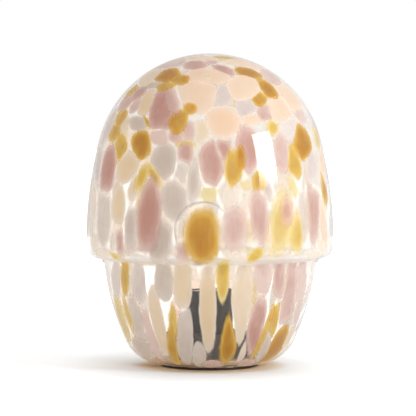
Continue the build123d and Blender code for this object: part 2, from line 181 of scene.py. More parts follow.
# %% Steps
bowl_tilt = radians(bowl_top_lean)
crease_sine = (bowl_radius * sin(bowl_tilt) + crease_round) / (bowl_radius + crease_round)
crease_lean = degrees(asin(crease_sine))
crease_centre = bowl_top_radius - bowl_radius * cos(bowl_tilt)
crease_centre += (bowl_radius + crease_round) * cos(radians(crease_lean))
profile_steps = {
    "crown": (crown_radius, shoulder_lean - 90),
    "side": (side_radius, -shoulder_lean),
    "skirt": (skirt_height, 0),
    "rim": (rim_round, -90),
    "underside": (dome_radius - rim_round - crease_centre, 0),
    "crease": (crease_round, 90 - crease_lean),
    "bowl": (bowl_radius, crease_lean - bowl_low_lean),
    "corner": (corner_radius, bowl_low_lean - 90),
    "seat": (seat_width, 0),
}


def walk(spacing):
    """Radius, height and heading at even steps along the chain of arcs and straight runs."""
    points = [(0, lamp_height, 0)]
    for size, turn in profile_steps.values():
        radius, height, heading = points[-1]
        steps = max(3, round((size * abs(radians(turn)) if turn else size) / spacing))
        centre_side = size if turn > 0 else -size
        for part in np.arange(1, steps + 1) / steps:
            if turn:
                ahead = heading + radians(turn) * part
                across = centre_side * (sin(ahead) - sin(heading))
                up = -centre_side * (cos(ahead) - cos(heading))
            else:
                ahead = heading
                across, up = size * part * cos(heading), size * part * sin(heading)
            points.append((radius + across, height + up, ahead))
    return np.array(points).T


outer_radius, outer_height, outer_heading = walk(spacing=2)
steps_down = np.hypot(np.diff(outer_radius), np.diff(outer_height))
outer_down = np.concatenate([[0], np.cumsum(steps_down)])
print("Profile ends at radius", round(outer_radius[-1], 3), "height", round(outer_height[-1], 3))
print("The line is", round(outer_down[-1], 1), "mm long, in", len(outer_down), "points")

# %% [markdown]
# ## Spinning the glass
#
# We start from one point on the axis and extrude it step by step: down the outer wall, in at
# the mouth and back up the inner wall. Spin turns that line into the shell. The ends of the
# line are on the axis, so merging the doubled points closes both poles and the seam. The
# mouth's two sharp edges are bevelled, as the glass there is ground flat and its edges broken.

# %% Shell
inner_radius, inner_height, inner_heading = walk(spacing=3)
inner_radius = inner_radius + glass_wall * np.sin(inner_heading)
inner_height = inner_height - glass_wall * np.cos(inner_heading)
line_radius = np.concatenate([outer_radius, inner_radius[::-1]]) / 1000
line_height = np.concatenate([outer_height, inner_height[::-1]]) / 1000
still_points = 8
sharp_edge = radians(60)
broken_edge = 0.0006


def draw_line(name, points):
    """Start a piece on the axis and extrude it from point to point."""
    bpy.ops.object.select_all(action="DESELECT")
    bpy.ops.mesh.primitive_plane_add(size=0.01)
    piece = bpy.context.object
    piece.name = piece.data.name = name
    bpy.ops.object.mode_set(mode="EDIT")
    bpy.ops.mesh.select_all(action="SELECT")
    bpy.ops.mesh.merge(type="CENTER")
    bpy.ops.transform.translate(value=points[0])
    for move in np.diff(points, axis=0):
        bpy.ops.mesh.extrude_region_move(TRANSFORM_OT_translate={"value": move})
    bpy.ops.object.mode_set(mode="OBJECT")
    return piece


def spin_line(steps):
    """Spin the line around the axis, close its seam and its poles, and face it outward."""
    bpy.ops.object.mode_set(mode="EDIT")
    bpy.ops.mesh.select_all(action="SELECT")
    bpy.ops.mesh.spin(steps=steps, angle=2 * pi, center=(0, 0, 0), axis=(0, 0, 1))
    bpy.ops.mesh.select_all(action="SELECT")
    bpy.ops.mesh.remove_doubles(threshold=1e-5)
    bpy.ops.mesh.normals_make_consistent(inside=False)
    bpy.ops.object.mode_set(mode="OBJECT")


shell = draw_line("glass_shell", np.stack([line_radius, 0 * line_radius, line_height], axis=-1))
inside = shell.vertex_groups.new(name="inner_wall")
inside.add(range(len(outer_down), len(line_height) - still_points), 1, "ADD")
spin_line(steps=192)
bpy.ops.object.mode_set(mode="EDIT")
bpy.ops.mesh.select_all(action="DESELECT")
bpy.ops.mesh.edges_select_sharp(sharpness=sharp_edge)
bpy.ops.mesh.bevel(offset=broken_edge, segments=3)
bpy.ops.object.mode_set(mode="OBJECT")
print("Shell has", len(shell.data.polygons), "faces and spans", [round(d, 4) for d in shell.dimensions])

# %% [markdown]
# ## The waves of hand-blown glass
#
# The outside of a blown bubble is smooth, because the tools that shape it touch it there. The
# inside is touched by nothing but air and is never quite even. What shows through the glass
# is bent by that, so the inner wall alone gets a slow swell of about a millimetre. The few
# points next to its pole stay still, so that the pole does not pucker.

# %% Waves inside
swell = bpy.data.textures.new("swell", "CLOUDS")
swell.noise_scale = 0.05
bpy.ops.object.modifier_add(type="DISPLACE")
wave = shell.modifiers[-1]
wave.texture = swell
wave.vertex_group = "inner_wall"
wave.strength = 0.0012
bpy.ops.object.modifier_apply(modifier=wave.name)
bpy.ops.object.shade_smooth_by_angle(angle=radians(50))
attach(shell, "shade")
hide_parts("glass_shade")
print("Inner wall swells over", swell.noise_scale * 1000, "mm")

# %% [markdown]
# ## Finding places on the glass
#
# A place on the glass is told by two numbers: how far down the profile it lies from the crown,
# and its turn about the axis from the front. Four functions work with them. One reads a value
# of the profile. One unrolls the glass around a place, flat as paper, to tell how far across
# and up another place lies. One looks from the camera through a pixel of the photograph and
# says which place is seen there. The last gives the points in space where places lie.

# %% Places
crown_reach = 75
front_x, front_y = 210, 200


def at(down, values):
    """A value of the profile at a distance along it from the crown."""
    return np.interp(down, outer_down, values)


def unroll(down, turn, other_down, other_turn):
    """Where another place on the glass lies from a place: millimetres across and up."""
    apart = (other_turn - turn + pi) % (2 * pi) - pi
    on_crown = np.less(down, crown_reach)
    across = at(other_down, outer_radius) * np.where(on_crown, np.sin(apart), apart)
    up = down - other_down * np.where(on_crown, np.cos(apart), 1)
    return np.stack([across, up], axis=-1)


def seen_at(x, y):
    """The place on the glass under a pixel of the photograph: distance down, and turn."""
    pixel = picture_span / photo_size
    aim = Vector(((x - photo_size / 2) * pixel, (photo_size / 2 - y) * pixel, -line_of_sight.length))
    aim.rotate(camera.rotation_euler)
    hit, point, normal, face = shell.ray_cast(camera.location, aim.normalized())
    assert hit, f"no glass under pixel {x}, {y}"
    down = np.interp(-point.z * 1000, -outer_height, outer_down)
    return down, np.arctan2(point.x, -point.y)


def point_at(down, turn, depth):
    """Points of the glass, in metres, at places and a depth in mm under the outer surface."""
    heading = at(down, outer_heading)
    radius = (at(down, outer_radius) + depth * np.sin(heading)) / 1000
    height = (at(down, outer_height) - depth * np.cos(heading)) / 1000
    return np.stack([radius * np.sin(turn), -radius * np.cos(turn), height], axis=-1)


print("The middle of the front lies", round(seen_at(front_x, front_y)[0]), "mm down from the crown")

# %% [markdown]
# ## The material of the glass
#
# Soda-lime glass bends light by an index of 1.5 and is nearly without colour at this
# thickness. The flame leaves its surface perfectly smooth, so only a trace of roughness and a
# slow ripple are added. At the upper left of the large amber chip in front an arc shows where
# the glass closed over it: a low ridge with a thin grey line, drawn from the distance to one
# point. Light on its way to a chip or the table passes as through a tinted pane, because
# tracing every bent path of it would leave the picture full of grain.

# %% Glass
glass_index = 1.5
ripples_per_metre, smears_per_metre = 28, 90
ring_x, ring_y = 203, 231
ring_radius, ring_width, ring_ridge = 0.0212, 0.0008, 0.0004
ring_side, ring_fade = (-0.6, 0, 0.8), 0.008

glass, tree, place = new_material("soda-lime glass, blown and fire-polished")
ripple = add(tree, "TexNoise", {"Vector": place, "Scale": ripples_per_metre, "Detail": 1})
smear = add(tree, "TexNoise", {"Vector": place, "Scale": smears_per_metre, "Detail": 3})
dull = add(tree, "MapRange", {0: smear, 1: 0.35, 2: 0.75, 3: 0, 4: 0.03})
middle = point_at(*seen_at(ring_x, ring_y), 0)
away = add(tree, "VectorMath", {0: place, 1: middle}, operation="DISTANCE")
offset = add(tree, "VectorMath", {0: place, 1: middle}, operation="SUBTRACT")
uphill = add(tree, "VectorMath", {0: offset, 1: ring_side}, operation="DOT_PRODUCT")
folded = add(tree, "MapRange", {0: uphill, 1: 0, 2: ring_fade})
off_line = add(tree, "Math", {0: away, 1: ring_radius}, operation="SUBTRACT")
off_line = add(tree, "Math", {0: off_line}, operation="ABSOLUTE")
on_line = add(tree, "MapRange", {0: off_line, 1: 0, 2: ring_width, 3: 1, 4: 0})
grey = add(tree, "Math", {0: on_line, 1: folded}, operation="MULTIPLY")
hues = {"Factor": grey, 6: linear("#FFFCF8"), 7: linear("#A79D94")}
tint = add(tree, "Mix", hues, data_type="RGBA")
slow = add(tree, "Bump", {"Height": ripple, "Strength": 0.15, "Distance": 0.001})
bump = add(tree, "Bump", {"Height": grey, "Strength": 1, "Distance": ring_ridge, "Normal": slow})
pane = {"Base Color": tint, "Roughness": dull, "IOR": glass_index, "Transmission Weight": 1, "Normal": bump}
clear = add(tree, "BsdfPrincipled", pane)
passed = add(tree, "BsdfTransparent", {"Color": linear("#F6F2EE")})
mix = add(tree, "MixShader", {0: rays(tree, "Shadow", "Diffuse"), 1: clear, 2: passed})
add(tree, "OutputMaterial", {"Surface": mix})
wear(shell, glass)
print("The shell is of", glass.name)

# %% [markdown]
# ## Air in the glass
#
# Where a gather folds over itself it traps air. One flattened bubble shows near the crown as a
# small ring, and a few seeds, as glassmakers call the smallest ones, are scattered about. The
# large one is a sphere pressed flat along the wall, and the seeds stay round. Their material is
# air seen from inside the glass, so its index is one over that of the glass.

# %% Bubbles
bubble_x, bubble_y = 208, 77
bubble_size = (2.6, 2.6, 0.5)
bubble_depth = 0.75
seed_count, seed_sizes, seed_downs = 14, (0.25, 0.55), (20, 220)

chance = np.random.default_rng(3)
spots = [(*seen_at(bubble_x, bubble_y), bubble_size)]
for number in range(seed_count):
    size = chance.uniform(*seed_sizes)
    spots.append((chance.uniform(*seed_downs), chance.uniform(-pi, pi), (size, size, size)))
bpy.ops.object.select_all(action="DESELECT")
bpy.ops.mesh.primitive_plane_add(size=0.01)
bubbles = bpy.context.object
bubbles.name = bubbles.data.name = "bubbles"
bpy.ops.object.mode_set(mode="EDIT")
bpy.ops.mesh.select_all(action="SELECT")
bpy.ops.mesh.delete(type="VERT")
for down, turn, size in spots:
    bpy.ops.mesh.select_all(action="DESELECT")
    bpy.ops.mesh.primitive_uv_sphere_add(
        segments=24,
        ring_count=12,
        radius=1,
        location=point_at(down, turn, bubble_depth),
        rotation=(-at(down, outer_heading), 0, turn),
        scale=[axis / 1000 for axis in size],
    )
bpy.ops.object.mode_set(mode="OBJECT")
bpy.ops.object.shade_smooth()
air, tree, place = new_material("air, trapped in the gather")
film = add(tree, "TexNoise", {"Vector": place, "Scale": 2000})
haze = add(tree, "MapRange", {0: film, 3: 0, 4: 0.03})
void = {"IOR": 1 / glass_index, "Transmission Weight": 1, "Roughness": haze}
hollow = add(tree, "BsdfPrincipled", {"Base Color": linear("#FFFFFF")} | void)
passed = add(tree, "BsdfTransparent")
mix = add(tree, "MixShader", {0: rays(tree, "Shadow", "Diffuse"), 1: hollow, 2: passed})
add(tree, "OutputMaterial", {"Surface": mix})
wear(bubbles, air)
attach(bubbles, "shade")
print(len(spots), "bubbles,", len(bubbles.data.polygons), "faces")

# %% [markdown]
# ## Laying a chip
#
# Before the bubble is blown, the hot gather is rolled over crushed coloured glass, which
# glassmakers call frit. As the bubble grows, each grain spreads into an oval chip, longer
# where the glass was drawn longer. So a chip is noted as an ellipse on the unrolled glass, by
# two half-axes that stand as the columns of a small matrix. Most chips stop where they meet
# their neighbours. A firm one holds its outline and they give way to it. A layer above or
# below the rest lets a chip lie over or under others, as where one grain melted onto another.
# A chip whose edge ran further into the clear glass than most is told how far, in millimetres.

# %% A chip
Chip = namedtuple("Chip", "frit down turn shape pale layer firm bled")
chips = []


def chip(frit, x, y, wide, tall, lean=0, pale=0.3, layer=0, firm=False, bled=None):
    """Lay a chip where the photograph shows one. Pixels, and degrees from upright, clockwise."""
    down, turn = seen_at(x, y)
    step = 2 if x < photo_size / 2 else -2
    right = unroll(down, turn, *seen_at(x + step, y)) / step
    lower = unroll(down, turn, *seen_at(x, y + 2)) / 2
    tilt = radians(lean)
    short = (right * cos(tilt) + lower * sin(tilt)) * wide / 2
    long = (right * sin(tilt) - lower * cos(tilt)) * tall / 2
    chips.append(Chip(frit, down, turn, np.stack([short, long], axis=-1), pale, layer, firm, bled))


print("A chip is told by its", ", ".join(Chip._fields))

# %% [markdown]
# ## The crown
#
# Near the top the chips are short and seen edge-on, so they look like lens shapes that follow
# the outline. Large peach ones lie towards the viewer. Pairs of amber ones sit on both
# shoulders, and rose ones between them.

# %% Chips of the crown
chip("rose", x=172, y=62, wide=30, tall=7, lean=-17, pale=0.8)
chip("rose", x=195, y=64, wide=23, tall=9, lean=-3)
chip("rose", x=211, y=61, wide=12, tall=5, pale=0.6)
chip("peach", x=197, y=57, wide=40, tall=5)
chip("cream", x=150, y=76, wide=13, tall=30, lean=50)
chip("amber", x=167, y=74, wide=25, tall=12, lean=-18, pale=0)
chip("amber", x=180, y=79, wide=18, tall=10, lean=-5, layer=1)
chip("taupe", x=156, y=84, wide=24, tall=6, lean=-12)
chip("amber", x=165, y=86, wide=18, tall=8, lean=-12, pale=0.6, layer=1)
chip("rose", x=160, y=110, wide=29, tall=44, lean=6, pale=0)
chip("rose", x=172, y=100, wide=12, tall=26, lean=-12, pale=0.8, layer=1)
chip("amber", x=178, y=121, wide=17, tall=25, lean=22, layer=1)
chip("amber", x=190, y=108, wide=13, tall=11, pale=0.4, layer=1)
chip("peach", x=200, y=94, wide=41, tall=34)
chip("peach", x=208, y=75, wide=46, tall=17)
chip("amber", x=225, y=57, wide=24, tall=3, lean=5, pale=0.6)
chip("peach", x=245, y=62, wide=42, tall=8, lean=14)
chip("peach", x=290, y=97, wide=15, tall=52, lean=-38)
chip("rose", x=224, y=69, wide=23, tall=8, lean=20)
chip("amber", x=249, y=72, wide=27, tall=9, lean=16, pale=0)
chip("rose", x=272, y=77, wide=25, tall=9, lean=38, pale=0.9)
chip("amber", x=269, y=89, wide=12, tall=28, lean=-45, pale=0)
chip("amber", x=260, y=99, wide=16, tall=14, pale=0.2)
chip("peach", x=243, y=87, wide=38, tall=29)
chip("lilac", x=223, y=95, wide=22, tall=24)
chip("lilac", x=247, y=107, wide=23, tall=25, pale=0.2)
chip("peach", x=224, y=121, wide=37, tall=36, pale=0)
chip("peach", x=252, y=118, wide=22, tall=13, pale=0.3)
chip("rose", x=265, y=112, wide=18, tall=16, pale=0.6)
chip("peach", x=280, y=109, wide=28, tall=36, lean=-30)
print(len(chips), "chips on the crown")

# %% [markdown]
# ## The left side
#
# Down the side the chips grow long. A deep rose one stands out here, under a honey one that
# it half covers, and amber ones climb the outline. Between them lie quiet taupe and cream.

# %% Chips of the left side
chip("rose", x=138, y=93, wide=9, tall=19, lean=46)
chip("rose", x=125, y=102, wide=9, tall=25, lean=36, pale=0.5)
chip("rose", x=135, y=105, wide=8, tall=17, lean=40, pale=0.6)
chip("amber", x=131, y=91, wide=5, tall=18, lean=45, pale=0.5)
chip("cream", x=145, y=103, wide=15, tall=31, lean=22, pale=0)
chip("amber", x=120, y=118, wide=10, tall=20, lean=26, pale=0.4)
chip("amber", x=114, y=132, wide=10, tall=21, lean=22, pale=0.4)
chip("taupe", x=137, y=123, wide=19, tall=15)
chip("amber", x=146, y=121, wide=4, tall=12, lean=-18)
chip("cream", x=124, y=124, wide=8, tall=16, lean=20)
chip("amber", x=140, y=144, wide=20, tall=31, pale=0)
chip("amber", x=120, y=147, wide=12, tall=28, pale=0.5)
chip("rose", x=159, y=137, wide=18, tall=17, pale=1)
chip("rose", x=175, y=136, wide=15, tall=13, pale=0.6)
chip("rose", x=188, y=131, wide=14, tall=19, pale=0.6)
chip("cream", x=202, y=131, wide=16, tall=24)
chip("lilac", x=108, y=126, wide=7, tall=40, lean=24)
chip("rose", x=107, y=169, wide=15, tall=54, lean=9, pale=0)
chip("cream", x=92, y=205, wide=6, tall=80, lean=4, pale=1)
chip("lilac", x=97, y=168, wide=6, tall=50, lean=8)
chip("cream", x=126, y=167, wide=22, tall=38, lean=9, pale=0)
chip("honey", x=141, y=177, wide=10, tall=28, lean=20, pale=0, firm=True, bled=2)
chip("honey", x=153, y=175, wide=9, tall=27, lean=-32, pale=0, firm=True, bled=2)
chip("rose", x=148, y=216, wide=24, tall=74, lean=5, pale=0, layer=1, firm=True)
chip("cream", x=133, y=187, wide=12, tall=32, lean=12)
chip("cream", x=118, y=206, wide=15, tall=48, pale=0.1)
chip("taupe", x=129, y=226, wide=14, tall=48, lean=4)
chip("rose", x=119, y=241, wide=9, tall=34, pale=0.4)
chip("taupe", x=102, y=219, wide=13, tall=60, lean=2, pale=0.8)
chip("taupe", x=163, y=161, wide=27, tall=41, pale=0)
chip("honey", x=185, y=144, wide=20, tall=9, pale=0.6, layer=-1)
chip("rose", x=185, y=153, wide=15, tall=24)
chip("taupe", x=181, y=172, wide=14, tall=24, pale=0.8)
chip("taupe", x=173, y=200, wide=27, tall=46)
chip("taupe", x=193, y=182, wide=15, tall=44)
chip("taupe", x=160, y=240, wide=22, tall=50, lean=8, pale=0)
chip("rose", x=182, y=251, wide=13, tall=27, pale=0.5)
chip("cream", x=181, y=231, wide=8, tall=24, pale=1)
chip("amber", x=202, y=237, wide=35, tall=57, pale=0, layer=1, firm=True, bled=4.5)
chip("honey", x=209, y=194, wide=16, tall=15, pale=1)
chip("rose", x=212, y=162, wide=26, tall=48, pale=0.2)
print(len(chips), "chips with the left side")

# %% [markdown]
# ## The right side
#
# This side has the same mix, paler, because the light comes from here. Honey and rose chips
# stand side by side near the rim, and one large amber one lies high on the outline.

# %% Chips of the right side
chip("honey", x=274, y=127, wide=12, tall=17, lean=-10)
chip("rose", x=301, y=115, wide=8, tall=16, lean=-30, pale=0.9)
chip("amber", x=304, y=145, wide=18, tall=42, lean=-14, pale=0)
chip("honey", x=318, y=140, wide=4, tall=27, lean=-14)
chip("rose", x=248, y=149, wide=24, tall=48, lean=-6, pale=0.2)
chip("rose", x=224, y=149, wide=15, tall=24, pale=0.2)
chip("amber", x=234, y=167, wide=18, tall=35, lean=3, pale=0.4, firm=True)
chip("amber", x=241, y=158, wide=9, tall=24, pale=0.2, layer=1, bled=1)
chip("rose", x=283, y=152, wide=15, tall=42, lean=-8, pale=0.7)
chip("amber", x=295, y=161, wide=14, tall=36, lean=-8, pale=0.6)
chip("lilac", x=289, y=128, wide=20, tall=25, pale=0.8)
chip("lilac", x=312, y=166, wide=12, tall=42, lean=-6)
chip("peach", x=323, y=162, wide=6, tall=52, lean=-9)
chip("amber", x=259, y=181, wide=13, tall=24, pale=0.5)
chip("honey", x=246, y=185, wide=9, tall=10, pale=1, bled=3)
chip("cream", x=231, y=196, wide=19, tall=26, pale=0.9)
chip("cream", x=244, y=210, wide=14, tall=32, lean=9, pale=0.9)
chip("rose", x=260, y=217, wide=18, tall=52, lean=-4, pale=0.4, firm=True)
chip("rose", x=235, y=230, wide=25, tall=42, pale=0.6, firm=True, bled=5)
chip("honey", x=282, y=224, wide=23, tall=62, lean=8, pale=0.4, firm=True, bled=5)
chip("rose", x=288, y=211, wide=12, tall=28, pale=0.5, layer=1, bled=3.5)
chip("honey", x=298, y=233, wide=14, tall=41, lean=2, firm=True)
chip("honey", x=294, y=186, wide=8, tall=25, lean=-14, pale=0.9)
chip("taupe", x=304, y=219, wide=11, tall=52, pale=0.6)
chip("rose", x=315, y=212, wide=14, tall=64, lean=-2, pale=0.4)
chip("amber", x=325, y=189, wide=5, tall=36, lean=-6, pale=0.2)
chip("peach", x=324, y=228, wide=9, tall=56, lean=-3)
chip("cream", x=269, y=236, wide=10, tall=30, pale=0.6)
chip("honey", x=256, y=256, wide=11, tall=21, lean=50, pale=0, firm=True, bled=1.2)
chip("cream", x=238, y=257, wide=18, tall=13, pale=1)
chip("cream", x=101, y=254, wide=17, tall=10, lean=25, pale=0.9)
chip("cream", x=316, y=254, wide=17, tall=10, lean=-25, pale=0.9)
chip("cream", x=94, y=243, wide=8, tall=22, lean=-4, pale=0.9)
chip("peach", x=322, y=246, wide=8, tall=20, lean=4, pale=0.9)
print(len(chips), "chips with the right side")

# %% [markdown]
# ## The bowl
#
# Under the rim the glass was drawn furthest, and its chips are long strokes that run together
# towards the mouth. Amber strokes and pale ones cross the dark column behind them, which
# makes them stand out sharply.

# %% Chips of the bowl
chip("honey", x=114, y=257, wide=5, tall=14, lean=-58)
chip("amber", x=124, y=278, wide=8, tall=38, pale=0.5)
chip("taupe", x=115, y=280, wide=9, tall=36, lean=-2, pale=1)
chip("honey", x=120, y=319, wide=5, tall=50, lean=-21)
chip("honey", x=127, y=314, wide=5, tall=36, lean=-18)
chip("lilac", x=138, y=284, wide=13, tall=44, pale=0.5)
chip("taupe", x=163, y=282, wide=19, tall=42, lean=-2, pale=0.3)
chip("cream", x=182, y=286, wide=19, tall=54, pale=0.2)
chip("cream", x=157, y=322, wide=13, tall=74, lean=-12, pale=0.2)
chip("taupe", x=136, y=322, wide=13, tall=54, lean=-14, pale=0.5)
chip("rose", x=150, y=336, wide=10, tall=54, lean=-18, pale=1, bled=2)
chip("amber", x=173, y=322, wide=10, tall=38, lean=-8, pale=0.8, bled=2.5)
chip("amber", x=172, y=350, wide=9, tall=42, lean=-12, pale=0.4, layer=1)
chip("taupe", x=184, y=338, wide=18, tall=62, lean=-2, pale=0.6)
chip("cream", x=208, y=311, wide=17, tall=88, pale=0)
chip("taupe", x=199, y=358, wide=14, tall=25, lean=-6, pale=0.8)
chip("taupe", x=141, y=349, wide=13, tall=30, lean=-42, pale=0.3)
chip("rose", x=213, y=365, wide=22, tall=5, pale=0.8)
chip("rose", x=247, y=364, wide=18, tall=4, lean=-8, pale=0.9)
chip("honey", x=223, y=277, wide=13, tall=51, lean=2, pale=0.1)
chip("cream", x=242, y=305, wide=20, tall=86, lean=6, pale=0.4)
chip("rose", x=263, y=279, wide=19, tall=40, pale=1, bled=4)
chip("amber", x=229, y=343, wide=16, tall=52, lean=8, pale=0.1, bled=2)
chip("cream", x=243, y=354, wide=6, tall=22, lean=24, pale=0.6)
chip("rose", x=257, y=328, wide=20, tall=72, lean=12, pale=0.1, bled=2.5)
chip("amber", x=264, y=336, wide=7, tall=64, lean=22, pale=0.6)
chip("amber", x=275, y=320, wide=8, tall=30, lean=7, pale=0.5)
chip("taupe", x=265, y=349, wide=9, tall=34, lean=20)
chip("amber", x=278, y=346, wide=13, tall=48, lean=33, pale=0)
chip("rose", x=280, y=280, wide=13, tall=46, pale=0.4, bled=2.5)
chip("rose", x=290, y=295, wide=14, tall=72, lean=9, pale=0.5, bled=2.5)
chip("rose", x=302, y=286, wide=10, tall=56, lean=6, pale=1)
chip("rose", x=299, y=310, wide=6, tall=36, lean=14, pale=0.9)
chip("cream", x=290, y=337, wide=5, tall=26, lean=32, pale=0)
print(len(chips), "chips laid by the photograph")

# %% [markdown]
# ## The rest of the glass
#
# The photograph shows one side. On the others the frit fell as it does anywhere: by chance, in
# the same mix and sizes, and never far over a chip that is already there. So we throw chips at
# random and keep those that find room, large ones first. In front only faint ones are thrown,
# into the gaps of the dome. The rolled rim and the front of the bowl stay clear of them, and so
# does a window at the back, through which the paper shows between the chips of the bowl.

# %% Chips on the rest
chance = np.random.default_rng(31)
lively = dict(rose=0.18, taupe=0.18, cream=0.22, peach=0.12, amber=0.11, lilac=0.13, honey=0.06)
faint = dict(cream=0.5, taupe=0.3, lilac=0.2)
front_turn, bowl_front = 1.45, 0.9
window_turn, window_width = -2.5, 0.2
rim_down = np.interp(-rim_height, -outer_height, outer_down)
rim_zone = 14
thrown_from, thrown_to = 3, outer_down[-1] - 4
half_widths, size_at_first, size_lost = (5.5, 10.5), 1.15, 0.65
stretches, drawn_longer, drawn_over = (0.9, 1.4), 1.1, 150
bowl_narrower, bowl_longer = 0.75, 1.9
lean_spread, paleness = 0.08, (0.2, 1)
crowded_in_front, crowded = 0.95, 1.12
tries = 9000


def crowding(down, turn, shape):
    """How far a new chip would run into each chip there is: over 1 they overlap."""
    downs, turns = np.array([c.down for c in chips]), np.array([c.turn for c in chips])
    ahead = unroll(down, turn, downs, turns) @ np.linalg.inv(shape).T
    unshapes = np.linalg.inv(np.array([c.shape for c in chips]))
    back = np.einsum("nij,nj->ni", unshapes, unroll(downs, turns, down, turn))
    return 1 / np.linalg.norm(ahead, axis=1) + 1 / np.linalg.norm(back, axis=1)


for attempt in range(tries):
    down, turn = chance.uniform(thrown_from, thrown_to), chance.uniform(-pi, pi)
    if chance.uniform(0, dome_radius) > at(down, outer_radius):
        continue
    half_wide = chance.uniform(*half_widths) * (size_at_first - size_lost * attempt / tries)
    stretch = chance.uniform(*stretches) + drawn_longer * min(down / drawn_over, 1)
    if at(down, outer_height) < rim_height:
        half_wide, stretch = half_wide * bowl_narrower, stretch * bowl_longer
    tilt = chance.normal(0, lean_spread)
    turned = np.array([[cos(tilt), -sin(tilt)], [sin(tilt), cos(tilt)]])
    shape = turned @ np.diag([half_wide, half_wide * stretch])
    in_front = abs(turn) < front_turn
    in_sight = down > rim_down and (abs(turn) < bowl_front or abs(turn - window_turn) < window_width)
    at_rim = abs(down - rim_down) < rim_zone
    limit = crowded_in_front if in_front else crowded
    if at_rim or in_sight or crowding(down, turn, shape).max() > limit:
        continue
    mixture = faint if in_front else lively
    frit = str(chance.choice(list(mixture), p=list(mixture.values())))
    pale = 1 if in_front else chance.uniform(*paleness)
    chips.append(Chip(frit, down, turn, shape, pale, layer=0, firm=False, bled=None))
print(len(chips), "chips in all")

# %% [markdown]
# ## One chip as a mesh
#
# Every chip is the same disc, modelled once: a filled circle, inset twice and poked, so that
# it has rings to bend around the glass. Its flat plan is kept as a map called "disc", in which
# the middle of a chip is always the middle and its edge a circle, whatever its outline is.

# %% Disc
bpy.ops.object.select_all(action="DESELECT")
bpy.ops.mesh.primitive_circle_add(vertices=20, radius=1, fill_type="NGON")
pattern = bpy.context.object
bpy.ops.object.mode_set(mode="EDIT")
bpy.ops.mesh.select_all(action="SELECT")
for thickness in (0.15, 0.3):
    bpy.ops.mesh.inset(thickness=thickness)
bpy.ops.mesh.poke()
bpy.ops.object.mode_set(mode="OBJECT")
disc = np.array([v.co.xy for v in pattern.data.vertices])
angle = np.arctan2(disc[:, 1], disc[:, 0])
while pattern.data.uv_layers:
    pattern.data.uv_layers.remove(pattern.data.uv_layers[0])
plan = pattern.data.uv_layers.new(name="disc")
for loop in pattern.data.loops:
    plan.data[loop.index].uv = disc[loop.vertex_index] / 2 + 0.5
print("One chip has", len(pattern.data.polygons), "faces")

# %% [markdown]
# ## Where chips meet
#
# Soft chips that touch press each other flat, as bubbles do. For a chip and each neighbour we
# find the border between their ellipses, and its outline stops there; a high power blends the
# borders and the free outline into one rounded line. Neighbours overlap by about a millimetre,
# most of all on the crown. Their edges have bled into the clear glass, more and more down the
# dome, and little in the bowl, which was drawn last.

# %% Outlines
overlap_in_bowl, overlap_in_dome, overlap_downs = 1.2, (1.5, 0.9), (50, 110)
bled_in_bowl, bled_in_dome, bled_downs = 1.2, (1.5, 3.5), (60, rim_down)
most_bled = 0.6
room_in_dome, room_held = 2.2, 2.1
nearest_border, furthest_border = 0.15, 2
firmness = 14
squareness = 2.1
downs, turns = np.array([c.down for c in chips]), np.array([c.turn for c in chips])
unshapes = np.linalg.inv(np.array([c.shape for c in chips]))
pressing = np.array([c.layer == 0 or c.firm for c in chips])
powers = np.abs(np.cos(angle)) ** squareness + np.abs(np.sin(angle)) ** squareness
oval = powers ** (-1 / squareness)


def pressure(number):
    """How far each corner of a chip is pressed in by its neighbours: over 1 is inside its ellipse."""
    piece = chips[number]
    others = pressing & (np.arange(len(chips)) != number)
    offset = unroll(piece.down, piece.turn, downs[others], turns[others])
    ahead = offset @ unshapes[number].T
    back = unroll(downs[others], turns[others], piece.down, piece.turn)
    back = np.linalg.norm(np.einsum("nij,nj->ni", unshapes[others], back), axis=1)
    span = np.linalg.norm(ahead, axis=1)
    in_dome = at(piece.down, outer_height) > rim_height
    overlap = np.interp(piece.down, overlap_downs, overlap_in_dome) if in_dome else overlap_in_bowl
    border = span * back / (span + back) + overlap * span / np.linalg.norm(offset, axis=1)
    near = (border < furthest_border) & (border > nearest_border)
    facing = np.cos(angle[:, None] - np.arctan2(ahead[near, 1], ahead[near, 0]))
    return np.maximum(facing, 0) / border[near]


def outline(number):
    """Corners of a chip on the unrolled glass, in mm, and the share of it that is not bled out."""
    piece = chips[number]
    in_dome = at(piece.down, outer_height) > rim_height
    held = piece.firm or piece.layer
    room = room_in_dome if in_dome and not held else room_held
    bled_here = np.interp(piece.down, bled_downs, bled_in_dome) if in_dome else bled_in_bowl
    bled = piece.bled or bled_here
    core = 1 - min(bled / np.linalg.norm(piece.shape[:, 0]), most_bled)
    free = (room * oval / (1 + core)) ** -firmness
    press = 0 if held else np.sum(pressure(number) ** firmness, axis=1)
    wobble = 1 + 0.03 * np.sin(3 * angle + number) + 0.02 * np.sin(5 * angle + 2 * number)
    size = wobble * (press + free) ** (-1 / firmness)
    return piece.shape @ (disc * size[:, None]).T, core


print("Outlines for", sum(pressing), "chips that press each other and", sum(~pressing), "that do not")

# %% [markdown]
# ## Chips into the wall
#
# Each chip is a copy of the disc with its corners moved onto the glass, a third of the way
# into the wall. Near the crown the glass is nearly a plane around the axis, so a step across is
# taken as a straight one there; further down it goes around. How pale a chip is and where its
# edge starts to bleed are kept on the mesh as attributes, which its material reads.

